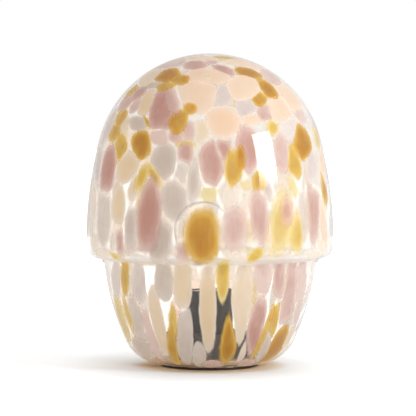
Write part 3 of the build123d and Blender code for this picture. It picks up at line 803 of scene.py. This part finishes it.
# %% Chips in the wall
chip_depth, depth_scatter = 1.5, 0.15
layer_step = 0.3
pieces = {frit: [] for frit in lively}
for number, piece in enumerate(chips):
    (across, up), core = outline(number)
    if piece.down < crown_reach:
        swing = across * piece.down / at(piece.down, outer_radius)
        lies_down = np.hypot(piece.down - up, swing)
        lies_turn = piece.turn + np.arctan2(swing, piece.down - up)
    else:
        lies_down = piece.down - up
        lies_turn = piece.turn + across / at(lies_down, outer_radius)
    lies_down = np.clip(lies_down, 0, outer_down[-1] - 1)
    depth = chip_depth + depth_scatter * chance.uniform(-1, 1) - layer_step * piece.layer
    spots = point_at(lies_down, lies_turn, depth)
    mesh = pattern.data.copy()
    mesh.vertices.foreach_set("co", spots.ravel())
    for name, value in (("tone", piece.pale), ("core", core)):
        mesh.attributes.new(name, "FLOAT", "POINT").data.foreach_set("value", np.full(len(spots), value))
    copy = bpy.data.objects.new("chip", mesh)
    bpy.context.collection.objects.link(copy)
    pieces[piece.frit].append(copy)
bpy.data.objects.remove(pattern)
print({frit: len(copies) for frit, copies in pieces.items()})

# %% [markdown]
# ## The glass of the frit
#
# Coloured frit is dense glass: light enters it, scatters and leaves on both sides. Half of its
# shader is therefore diffuse and half translucent, and it has no gloss of its own, being
# inside the wall. Its colour is deepest in the middle and pales to the edge, uneven from chip
# to chip and streaked along the way the bubble was drawn. At the edge it fades into the clear
# glass. Light on its way to the other side is tinted by a chip instead of stopped.

# %% Frit glass
streak_width, cloud_width = 2.5, 14
drawn_out = 0.15
ragged_by = 0.2
heart_ends, body_ends = 0.45, 0.8
streaks_pale, clouds_pale, pale_from = 0.5, 0.7, 0.6
densest = 0.97
light_passed = (0.65, 0.65, 0.65)


def milky(tree, colour, matt, share, tint):
    """End a material as dense glass that covers by a share and tints the light that passes."""
    body = add(tree, "BsdfPrincipled", {"Base Color": colour, "Roughness": matt, "Specular IOR Level": 0})
    glow = add(tree, "BsdfTranslucent", {"Color": colour})
    solid = add(tree, "MixShader", {0: 0.5, 1: body, 2: glow})
    seen = add(tree, "MixShader", {0: share, 1: add(tree, "BsdfTransparent"), 2: solid})
    filtered = add(tree, "BsdfTransparent", {"Color": tint})
    mix = add(tree, "MixShader", {0: rays(tree, "Shadow"), 1: seen, 2: filtered})
    add(tree, "OutputMaterial", {"Surface": mix})


def frit_glass(name, deep, middle, rim, pale):
    """Frit in four colours: the heart of a chip, its body, its edge, and a faint chip."""
    material, tree, place = new_material(name)
    plan = add(tree, "UVMap", uv_map="disc")
    centred = add(tree, "VectorMath", {0: plan, 1: (0.5, 0.5, 0)}, operation="SUBTRACT")
    out = add(tree, "VectorMath", {0: centred}, operation="LENGTH")
    drawn = add(tree, "Mapping", {"Vector": place, "Scale": (1, 1, drawn_out)})
    streak = add(tree, "TexNoise", {"Vector": drawn, "Scale": 1000 / streak_width, "Detail": 3})
    cloud = add(tree, "TexNoise", {"Vector": place, "Scale": 1000 / cloud_width})
    tone = add(tree, "Attribute", attribute_name="tone").outputs["Fac"]
    core = add(tree, "Attribute", attribute_name="core").outputs["Fac"]
    ragged = add(tree, "Math", {0: streak, 1: ragged_by, 2: -ragged_by / 2}, operation="MULTIPLY_ADD")
    spread = add(tree, "Math", {0: out, 1: 2, 2: ragged}, operation="MULTIPLY_ADD")
    within = add(tree, "Math", {0: spread, 1: core}, operation="DIVIDE")
    ramp = add(tree, "ValToRGB", {0: within})
    heart, edge = ramp.color_ramp.elements
    heart.color, heart.position = linear(deep), heart_ends
    edge.color, edge.position = linear(rim), 1
    ramp.color_ramp.elements.new(body_ends).color = linear(middle)
    lined = add(tree, "Math", {0: streak, 1: streaks_pale, 2: tone}, operation="MULTIPLY_ADD")
    clouded = add(tree, "Math", {0: cloud, 1: clouds_pale, 2: lined}, operation="MULTIPLY_ADD")
    faded = add(tree, "Math", {0: clouded, 1: pale_from}, operation="SUBTRACT", use_clamp=True)
    colour = add(tree, "Mix", {"Factor": faded, 6: ramp, 7: linear(pale)}, data_type="RGBA")
    bleed = {0: spread, 1: core, 2: 1, 3: densest, 4: 0}
    share = add(tree, "MapRange", bleed, interpolation_type="SMOOTHSTEP")
    matt = add(tree, "MapRange", {0: streak, 3: 0.4, 4: 0.7})
    thin = add(tree, "VectorMath", {0: colour, 1: light_passed}, operation="MULTIPLY")
    tint = add(tree, "Mix", {"Factor": share, 6: linear("#FFFFFF"), 7: thin}, data_type="RGBA")
    milky(tree, colour, matt, share, tint)
    return material


print("Streaks are about", streak_width, "mm wide and clouds", cloud_width, "mm")

# %% [markdown]
# ## Seven colours of frit
#
# The chips of one colour are joined into one piece. Seven colours make up the mix. Amber is the
# strongest and nearly honey at its edge. Rose and peach are the warm ones. Cream, taupe and
# lilac are close to white and hold the others apart, so that the lamp looks light.

# %% Frits
frit_colours = {
    "amber": ("#C28A10", "#CF9A20", "#DFBA50", "#F0D878"),
    "honey": ("#E3C14C", "#EACF68", "#F2E2A0", "#F2E9BC"),
    "rose": ("#C99C94", "#D3AAA3", "#E2C8C3", "#ECDBD8"),
    "peach": ("#F7DFC6", "#F9E5D2", "#FBECDF", "#FCF3EA"),
    "cream": ("#F1DFBE", "#F2E3CA", "#F4EBDD", "#F8F4EE"),
    "taupe": ("#D1C7BF", "#D8CFC9", "#E3DDD9", "#ECE8E5"),
    "lilac": ("#DBD2D3", "#E1DADB", "#EAE5E5", "#F3F0F0"),
}
for frit, colours in frit_colours.items():
    bpy.ops.object.select_all(action="DESELECT")
    for copy in pieces[frit]:
        copy.select_set(True)
    bpy.context.view_layer.objects.active = pieces[frit][0]
    bpy.ops.object.join()
    layer = bpy.context.object
    layer.name = layer.data.name = "frit_" + frit
    bpy.ops.object.shade_smooth()
    wear(layer, frit_glass(frit + " frit, crushed glass melted in", *colours))
    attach(layer, "shade")
    print(layer.name, "has", len(layer.data.polygons), "faces")

# %% [markdown]
# ## The veil between the chips
#
# Crushing glass also makes dust, and the dust melts into a thin milky veil. It fills the gaps
# of the dome, so that they look pale instead of empty, and it runs out a little below the rim,
# as the bowl is clear between its chips. It lies under the chips. We extrude the profile again,
# only as far as the veil goes and deeper in the wall, and spin it to a skin without thickness.

# %% Veil
veil_depth = 2.6
veil_ends = rim_down + 22
veil_down = np.arange(0, veil_ends, 4)
veil_points = point_at(veil_down, 0 * veil_down, veil_depth)
veil_points[0] = (0, 0, veil_points[0][2])
veil = draw_line("frit_veil", veil_points)
spin_line(steps=96)
bpy.ops.object.shade_smooth()
print("The veil has", len(veil.data.polygons), "faces")

# %% [markdown]
# ## The milk of the veil
#
# The veil scatters a part of the light and lets the rest pass, so it ends in the same half
# diffuse, half translucent shader as the chips. Clouds make it thicker and thinner, and it
# fades with height towards its lower end.

# %% Milk
veil_strength = 0.38
veil_gone, veil_full = rim_height - 14, rim_height - 10
powder, tree, place = new_material("powder frit, melted to a veil")
cloud = add(tree, "TexNoise", {"Vector": place, "Scale": 1000 / cloud_width, "Detail": 2})
thick = add(tree, "MapRange", {0: cloud, 1: 0.3, 2: 0.7, 3: 0.7, 4: 1.2})
height = add(tree, "SeparateXYZ", {0: place}).outputs["Z"]
fade = {0: height, 1: veil_gone / 1000, 2: veil_full / 1000, 3: 0, 4: veil_strength}
low = add(tree, "MapRange", fade, interpolation_type="SMOOTHSTEP")
share = add(tree, "Math", {0: thick, 1: low}, operation="MULTIPLY")
hues = {"Factor": cloud, 6: linear("#EAF3F8"), 7: linear("#F6FBFF")}
colour = add(tree, "Mix", hues, data_type="RGBA")
matt = add(tree, "MapRange", {0: cloud, 3: 0.4, 4: 0.7})
milky(tree, colour, matt, share, linear("#F5F4F3"))
wear(veil, powder)
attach(veil, "shade")
print("The veil takes about", veil_strength, "of the light")

# %% [markdown]
# ## A grain for solid materials
#
# No moulded, blasted or plated surface is one flat colour. Its grain moves the colour, the
# gloss and the relief together: a hollow is darker, duller and lower. One function builds that
# for any solid material, puts it on pieces of the light unit, and hands back its shader for a
# cell to add to. The other three make such additions: another colour where a node says so,
# another relief, and a mask of the upright faces, which on a board are its cut edge.

# %% Grain


def dress(names, kind, colour, shade, grain, rough, relief, **settings):
    """Dress pieces in a grain: two colours, its size in mm, roughness from glossy to dull, mm of relief."""
    material, tree, place = new_material(kind)
    noise = add(tree, "TexNoise", {"Vector": place, "Scale": 1000 / grain, "Detail": 3})
    tint = add(tree, "Mix", {"Factor": noise, 6: linear(shade), 7: linear(colour)}, data_type="RGBA")
    matt = add(tree, "MapRange", {0: noise, 1: 0.3, 2: 0.7, 3: rough[1], 4: rough[0]})
    bump = add(tree, "Bump", {"Height": noise, "Distance": relief / 1000})
    look = {"Base Color": tint, "Roughness": matt, "Normal": bump} | settings
    body = add(tree, "BsdfPrincipled", look)
    add(tree, "OutputMaterial", {"Surface": body})
    for name in names:
        wear(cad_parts[name], material)
    print(kind, "on", ", ".join(names))
    return tree, body, place


def paint(tree, body, where, colour):
    """Lay another colour over a material's own, where a node says so."""
    own = body.inputs["Base Color"].links[0].from_socket
    over = add(tree, "Mix", {"Factor": where, 6: own, 7: linear(colour)}, data_type="RGBA")
    tree.links.new(over.outputs[2], body.inputs["Base Color"])


def emboss(tree, body, height, relief):
    """Put another relief, in mm, in place of a material's grain."""
    bump = add(tree, "Bump", {"Height": height, "Distance": relief / 1000})
    tree.links.new(bump.outputs[0], body.inputs["Normal"])


def cut_edge(tree):
    """One on upright faces, zero on level ones."""
    facing = add(tree, "SeparateXYZ", {0: add(tree, "NewGeometry").outputs["Normal"]})
    return add(tree, "Math", {0: facing.outputs["Z"], 1: 0, 2: 0.5}, operation="COMPARE")


print("Ready to dress the pieces of the light unit")

# %% [markdown]
# ## Rubber and moulded plastics
#
# The light unit shows little of itself: a thin black foot under the glass, a gasket that the
# glass sits on, and a dark plug inside. Silicone is matt and takes all light. The housing is
# moulded in a steel tool whose faces were eroded by sparks, and the plastic keeps that fine
# frost. Fingers pass over the plate underneath each time the lamp is switched or charged, and
# rub it. The button is smoother, since it is made to be found by a finger in the dark.

# %% Rubber and moulded plastics
# Soft black that hides its own shape: the foot is a dark line on the table, nothing more.
rubber = dict(grain=0.3, rough=(0.5, 0.66), relief=0.01)
dress(["seat_gasket", "foot_ring"], "silicone rubber, moulded matt", "#1D1C1B", "#131212", **rubber)

# A dry, even frost that keeps the plug from mirroring the coloured chips above it.
frost = dict(grain=0.35, rough=(0.46, 0.6), relief=0.02)
dress(["base_housing"], "polycarbonate, moulded in a spark-eroded tool", "#36302D", "#2A2523", **frost)

# The same frost worn to a shine in strokes, which tells that fingers look for the button here.
frost = dict(grain=0.5, rough=(0.45, 0.6), relief=0.02)
tree, body, place = dress(["base_plate"], "ABS, moulded and rubbed in use", "#2E2A28", "#242120", **frost)
stroke = add(tree, "Mapping", {"Vector": place, "Rotation": (0, 0, 0.5), "Scale": (1, 0.04, 1)})
worn = add(tree, "TexNoise", {"Vector": stroke, "Scale": 1500, "Detail": 2})
shine = add(tree, "MapRange", {0: worn, 1: 0.45, 2: 0.7, 3: 0.58, 4: 0.3})
tree.links.new(shine.outputs[0], body.inputs["Roughness"])

# Finer than the plate around it, so that light pools in its dish and shows where to press.
satin = dict(grain=0.2, rough=(0.28, 0.38), relief=0.004)
dress(["power_button"], "ABS, moulded satin", "#4A4440", "#413B38", **satin)

# %% [markdown]
# ## Metals
#
# The column is turned from aluminium, blasted with glass beads and anodised a warm dark grey.
# The blasting scatters the light and the oxide stays satin. The nut and the heat spreader
# inside are bare from the lathe: the tool leaves rings around the axis, and those pull the
# reflections into spokes. The socket's shell and the cell's tabs are strip metal and keep the
# straight lines of drawing and rolling. The screws are plated with zinc.

# %% Metals
# Satin darkness with a soft light along one side, seen between the chips of the bowl.
blasted = dict(grain=0.15, rough=(0.42, 0.54), relief=0.008, Metallic=1)
dress(["light_column"], "aluminium, bead-blasted and anodised dark", "#322D2A", "#292522", **blasted)

# Bright rings that turn with the light, as on anything fresh from a lathe.
lathed = ["column_nut", "heat_spreader"]
bright = dict(grain=0.5, rough=(0.22, 0.36), relief=0.003, Metallic=1)
tree, body, place = dress(lathed, "aluminium, turned", "#D6D6D4", "#C9C9C7", **bright)
lathe = {"Vector": place, "Scale": 1250, "Distortion": 0.3}
rings = add(tree, "TexWave", lathe, wave_type="RINGS", rings_direction="Z")
emboss(tree, body, rings, 0.01)

# Straight, close lines up the strip: the eye reads them as rolled or drawn metal.
strip = dict(grain=0.6, rough=(0.2, 0.34), relief=0.002, Metallic=1)
for node, kind, colour, shade in (
    ("usb_c_shell", "stainless steel, drawn", "#CFCECB", "#BDBCB9"),
    ("battery_tabs", "nickel strip, rolled", "#C4BBAC", "#B2A999"),
):
    tree, body, place = dress([node], kind, colour, shade, **strip)
    drawn = add(tree, "Mapping", {"Vector": place, "Scale": (1, 1, 0.03)})
    lines = add(tree, "TexNoise", {"Vector": drawn, "Scale": 4000, "Detail": 2})
    emboss(tree, body, lines, 0.005)

# A cool, slightly cloudy glint in each countersink.
screws = ["base_plate_screws", "main_board_screws", "led_board_screws"]
plated = dict(grain=0.4, rough=(0.24, 0.42), relief=0.004, Metallic=1)
dress(screws, "steel, zinc-plated", "#BFC1C4", "#A9ABB0", **plated)

# %% [markdown]
# ## The light source
#
# On top of the column sits the light: white chips under a yellow phosphor, on a board with a
# white mask, inside a white ring, under an opal disc. Opal acrylic is filled with particles
# that scatter light both ways, so half of the shader is translucent. The light pipe beside
# the charging socket is clear acrylic, frosted a little at its end.

# %% Light source
# Milk white with no depth to look into; it hides the chips below it.
opal = dict(grain=0.4, rough=(0.3, 0.42), relief=0.004, IOR=1.49)
tree, body, place = dress(["diffuser"], "acrylic, opal, moulded", "#F6F3EC", "#EFEBE3", **opal)
milk = add(tree, "BsdfTranslucent", {"Color": linear("#FBF6EC")})
half = add(tree, "MixShader", {0: 0.5, 1: body, 2: milk})
tree.links.new(half.outputs[0], tree.nodes["Material Output"].inputs["Surface"])

# A brighter, glossier white than the disc, which sends stray light back up.
glossy = dict(grain=0.4, rough=(0.22, 0.34), relief=0.004)
dress(["reflector_ring"], "polycarbonate, moulded white", "#F7F6F2", "#EDEBE6", **glossy)

# White above, a line of bare aluminium at the cut edge: a board that is made to shed heat.
mask = dict(grain=0.3, rough=(0.3, 0.45), relief=0.006)
tree, body, place = dress(["led_board"], "solder mask, white, screen-printed", "#F2F0EA", "#E6E3DC", **mask)
tree.links.new(cut_edge(tree).outputs[0], body.inputs["Metallic"])

# A yellow top on a white body, the one note of colour under the opal disc.
package_top = 54.85
resin = dict(grain=0.2, rough=(0.25, 0.4), relief=0.004)
tree, body, place = dress(["led_chips"], "LED package, resin over phosphor", "#F3D36A", "#EAC44E", **resin)
height = add(tree, "SeparateXYZ", {0: place}).outputs["Z"]
side = add(tree, "Math", {0: height, 1: package_top / 1000}, operation="LESS_THAN")
paint(tree, body, side, "#F4F2EC")

# Clear, with a frosted bloom that spreads the charging light over its whole end.
bloom = {"grain": 0.3, "rough": (0.05, 0.16), "relief": 0.002, "IOR": 1.49, "Transmission Weight": 1}
dress(["charge_light_pipe"], "acrylic, clear, moulded", "#FFFFFF", "#F4F6F6", **bloom)

# %% [markdown]
# ## The electronics
#
# None of this shows while the lamp stands whole, but it is there when the light unit is taken
# apart, and each piece is told by its material. The board is glass cloth and epoxy with copper
# tracks under a green mask, and its routed edge is bare. The chips are black epoxy. The choke
# is pressed ferrite, mottled like stone. The tongue of the charging socket has rows of gilt
# contacts half a millimetre apart.

# %% Electronics
# Green with paler lanes where the copper lies under it, and a straw-coloured edge.
mask = dict(grain=0.4, rough=(0.26, 0.4), relief=0.004)
tree, body, place = dress(["main_board"], "solder mask, green, over copper", "#1E5238", "#174530", **mask)
copper = {"Color1": linear("#2C6B49"), "Color2": linear("#1B4C34"), "Mortar": linear("#174530")}
tracks = {"Scale": 400, "Mortar Size": 0.03, "Brick Width": 2.6, "Row Height": 0.22}
lanes = add(tree, "TexBrick", {"Vector": place} | copper | tracks)
tree.links.new(lanes.outputs[0], body.inputs["Base Color"])
paint(tree, body, cut_edge(tree), "#B9A873")

# Dull black with the faint grit of its filler.
grit = dict(grain=0.15, rough=(0.4, 0.55), relief=0.006)
dress(["board_chips"], "epoxy, moulded, silica-filled", "#252528", "#1A1A1C", **grit)

# Grey and speckled, heavier to the eye than the chips beside it.
fired = dict(grain=0.7, rough=(0.35, 0.6), relief=0.01)
dress(["driver_inductor"], "ferrite, pressed and fired", "#4C4945", "#2F2D2B", **fired)

# Ivory that lets a little light in at its thin walls.
natural = dict(grain=0.5, rough=(0.32, 0.45), relief=0.004)
dress(["lead_sockets"], "nylon, moulded natural", "#EAE2CE", "#DDD3BC", **natural)

# Waxy white against black: the two halves of a push switch.
waxy = dict(grain=0.4, rough=(0.25, 0.36), relief=0.003)
dress(["switch_plunger"], "acetal, moulded natural", "#F0EDE5", "#E6E2D8", **waxy)
fibres = dict(grain=0.25, rough=(0.4, 0.6), relief=0.008)
dress(["tact_switch"], "nylon, glass-filled, moulded", "#29292B", "#1C1C1E", **fibres)

# Black with fine gilt rows, seen when one looks straight into the charging socket.
contact_pitch, contact_row = 0.5, 2.9
polymer = "liquid-crystal polymer with gilt contacts"
fine = dict(grain=0.2, rough=(0.36, 0.5), relief=0.004)
tree, body, place = dress(["usb_c_tongue"], polymer, "#222224", "#18181A", **fine)
along = add(tree, "SeparateXYZ", {0: place}).outputs["X"]
within = add(tree, "Math", {0: along, 1: 0, 2: contact_row / 1000}, operation="COMPARE")
beat = add(tree, "Math", {0: along, 1: contact_pitch / 1000}, operation="FLOORED_MODULO")
pad = add(tree, "Math", {0: beat, 1: contact_pitch / 2000}, operation="LESS_THAN")
gilt = add(tree, "Math", {0: within, 1: pad}, operation="MULTIPLY")
paint(tree, body, gilt, "#D9B25F")
tree.links.new(gilt.outputs[0], body.inputs["Metallic"])

# %% [markdown]
# ## The cell and its leads
#
# The cell is a steel can in a plastic sleeve that was shrunk on with hot air, open at the ends,
# so the rim of a paper washer and the steel show there. The sleeve stays glossy and gets a
# slight orange peel from the heat. It stands in a black carrier under a foam pad. Of each pair
# of leads one is red and one is black; they differ by the side of the middle they run on.

# %% Cell and leads
# Glossy blue with a white ring and a steel eye at the top, which nobody takes for anything else.
cell_bottom, cell_top, washer_hole = 14.4, 49.1, 6
shrunk = dict(grain=1.5, rough=(0.16, 0.26), relief=0.01)
tree, body, place = dress(["battery_cell"], "PVC sleeve, shrunk over steel", "#3F7390", "#37688A", **shrunk)
axes = add(tree, "SeparateXYZ", {0: place})
across = add(tree, "CombineXYZ", {0: axes.outputs["X"], 1: axes.outputs["Y"]})
radius = add(tree, "VectorMath", {0: across}, operation="LENGTH")
height = axes.outputs["Z"]
top = add(tree, "Math", {0: height, 1: cell_top / 1000}, operation="GREATER_THAN")
bottom = add(tree, "Math", {0: height, 1: cell_bottom / 1000}, operation="LESS_THAN")
middle = add(tree, "Math", {0: radius, 1: washer_hole / 1000}, operation="LESS_THAN")
eye = add(tree, "Math", {0: top, 1: middle}, operation="MULTIPLY")
steel = add(tree, "Math", {0: eye, 1: bottom}, operation="MAXIMUM")
paint(tree, body, top, "#EFEDE6")
paint(tree, body, steel, "#C6C5C2")
tree.links.new(steel.outputs[0], body.inputs["Metallic"])

# Plain black, a little greasy, as nylon is.
greasy = dict(grain=0.5, rough=(0.34, 0.46), relief=0.006)
dress(["battery_carrier"], "nylon, moulded black", "#2B2B2D", "#202022", **greasy)

# Closed cells cut through at the face: matt, pitted and soft to look at.
pitted = dict(grain=0.8, rough=(0.75, 0.95), relief=0.01)
tree, body, place = dress(["cell_pad"], "EVA foam, die-cut", "#3E3E40", "#2C2C2E", **pitted)
cells = add(tree, "TexVoronoi", {"Vector": place, "Scale": 1600})
emboss(tree, body, cells.outputs["Distance"], 0.1)

# Red and black side by side, smooth from the die.
leads = ["battery_leads", "led_leads"]
smooth = dict(grain=0.6, rough=(0.3, 0.42), relief=0.003)
tree, body, place = dress(leads, "PVC insulation, extruded", "#232325", "#1B1B1D", **smooth)
sides = add(tree, "SeparateXYZ", {0: place}).outputs["Y"]
positive = add(tree, "Math", {0: sides, 1: 0}, operation="GREATER_THAN")
paint(tree, body, positive, "#A92A22")

# %% [markdown]
# ## The table
#
# The lamp stands on a wide sheet of white paper, and the room behind is as white, so the
# picture has no horizon. In the photograph the paper is white except where the lamp shades it.
# Its material does that in two steps: plain paper that takes the shadow, and for the camera,
# and for what is seen through the glass, a glow that grows with the distance from the lamp.
# Close to the foot the paper is warm. On the real table that is light which the amber strokes
# coloured and the thick glass gathered; here light goes straight through the glass and can't
# gather, so the tone of the paper stands in for it.

# %% Paper
painted_warmth_until, white_from = 0.045, 0.064
glow_near = {1: 0.055, 2: 0.12, 3: 0, 4: 0.23}
glow_far = {1: 0.2, 2: 1.2, 3: 0, 4: 0.85}

bpy.ops.object.select_all(action="DESELECT")
bpy.ops.mesh.primitive_plane_add(size=12)
floor = bpy.context.object
floor.name = "floor"
paper, tree, place = new_material("white paper, calendered")
fibre = add(tree, "TexNoise", {"Vector": place, "Scale": 900, "Detail": 2})
matt = add(tree, "MapRange", {0: fibre, 3: 0.85, 4: 1})
away = add(tree, "VectorMath", {0: place}, operation="LENGTH")
# Painted warm light: the paper is tinted warm close to the foot, in place of light that the amber strokes
# colour.
plain = add(tree, "MapRange", {0: away, 1: painted_warmth_until, 2: white_from}, interpolation_type="SMOOTHSTEP")
hues = {"Factor": plain, 6: linear("#DECDB6"), 7: linear("#F0F4F7")}
white = add(tree, "Mix", hues, data_type="RGBA")
sheet = add(tree, "BsdfPrincipled", {"Base Color": white, "Roughness": matt})
# Painted light: for the camera the paper glows more the further it lies from the foot, which keeps the
# shadow close to it.
near = add(tree, "MapRange", {0: away} | glow_near)
far = add(tree, "MapRange", {0: away} | glow_far)
rise = add(tree, "Math", {0: near, 1: far}, operation="ADD")
seen = rays(tree, "Camera", "Transmission")
strength = add(tree, "Math", {0: rise, 1: seen}, operation="MULTIPLY")
lift = add(tree, "Emission", {"Strength": strength})
both = add(tree, "AddShader", {0: sheet, 1: lift})
add(tree, "OutputMaterial", {"Surface": both})
wear(floor, paper)
print("Paper is", floor.dimensions.x, "m wide")

# %% [markdown]
# ## The room
#
# A white room lights the lamp from all around, a little more from the right. It varies with
# direction for a second reason: the renderer samples a world that varies as a light, which
# keeps the shade under the glass free of grain. Straight into the camera, and through the
# glass, it is plain white.

# %% Room
light_from_left, light_from_right = 0.67, 0.775
world = bpy.data.worlds.new("studio")
bpy.context.scene.world = world
world.use_nodes = True
tree = world.node_tree
tree.nodes.clear()
seen = rays(tree, "Camera", "Transmission")
direction = add(tree, "SeparateXYZ", {0: add(tree, "TexCoord").outputs["Generated"]})
sides = {0: direction.outputs["X"], 1: -0.6, 2: 0.4, 3: light_from_left, 4: light_from_right}
strength = add(tree, "MapRange", {0: seen, 3: add(tree, "MapRange", sides), 4: 1})
sky = add(tree, "Background", {"Color": linear("#FFFFFF"), "Strength": strength})
add(tree, "OutputWorld", {"Surface": sky})
print("The room is lit from all sides, a little more from the right")

# %% [markdown]
# ## Two softboxes
#
# One softbox to the right gives the white window on the glass, drawn tall and bent to a slant
# by its curve. Its lower end fades, and so does the window's. A wide, weak one behind sends light
# through the chips so that they glow. It is kept out of reflections, as the photograph shows
# none of it.

# %% Softboxes
lamp_middle = Vector((0, 0, 0.13))
fading_part = 0.3


def softbox(name, place, wide, tall, radiance):
    """A rectangular softbox that faces the middle of the lamp, lit to a radiance."""
    bpy.ops.object.light_add(type="AREA", location=place)
    light = bpy.context.object
    light.name = name
    light.rotation_euler = (lamp_middle - Vector(place)).to_track_quat("-Z", "Y").to_euler()
    light.data.shape = "RECTANGLE"
    light.data.size, light.data.size_y = wide, tall
    light.data.energy = radiance * pi * wide * tall
    print(name, "gives", round(light.data.energy, 1), "W")
    return light


key = softbox("key_softbox", (0.955, -0.62, 0.585), wide=0.42, tall=0.44, radiance=16)
key.data.use_nodes = True
tree = key.data.node_tree
over = add(tree, "SeparateXYZ", {0: add(tree, "NewGeometry").outputs["Parametric"]})
falls = add(tree, "MapRange", {0: over.outputs["Y"], 1: 0, 2: fading_part, 3: 0, 4: 1})
tree.links.new(falls.outputs[0], tree.nodes["Emission"].inputs["Strength"])
back = softbox("back_softbox", (0, 1.4, 0.55), wide=1.8, tall=1.1, radiance=1.6)
back.visible_camera = back.visible_glossy = back.visible_transmission = False

# %% [markdown]
# ## Paths and colours
#
# Light crosses the four surfaces of the two walls and the chips in them, so paths need more
# turns than usual. Caustics are left out, since the materials already let light through them.
# The view transform is Standard, so a colour renders about as it is written.

# %% Paths
scene = bpy.context.scene
scene.view_settings.view_transform = "Standard"
scene.cycles.max_bounces = 20
scene.cycles.transmission_bounces = 16
scene.cycles.transparent_max_bounces = 24
scene.cycles.caustics_reflective = False
scene.cycles.caustics_refractive = False
print("Paths of up to", scene.cycles.max_bounces, "turns, colours", scene.view_settings.view_transform)
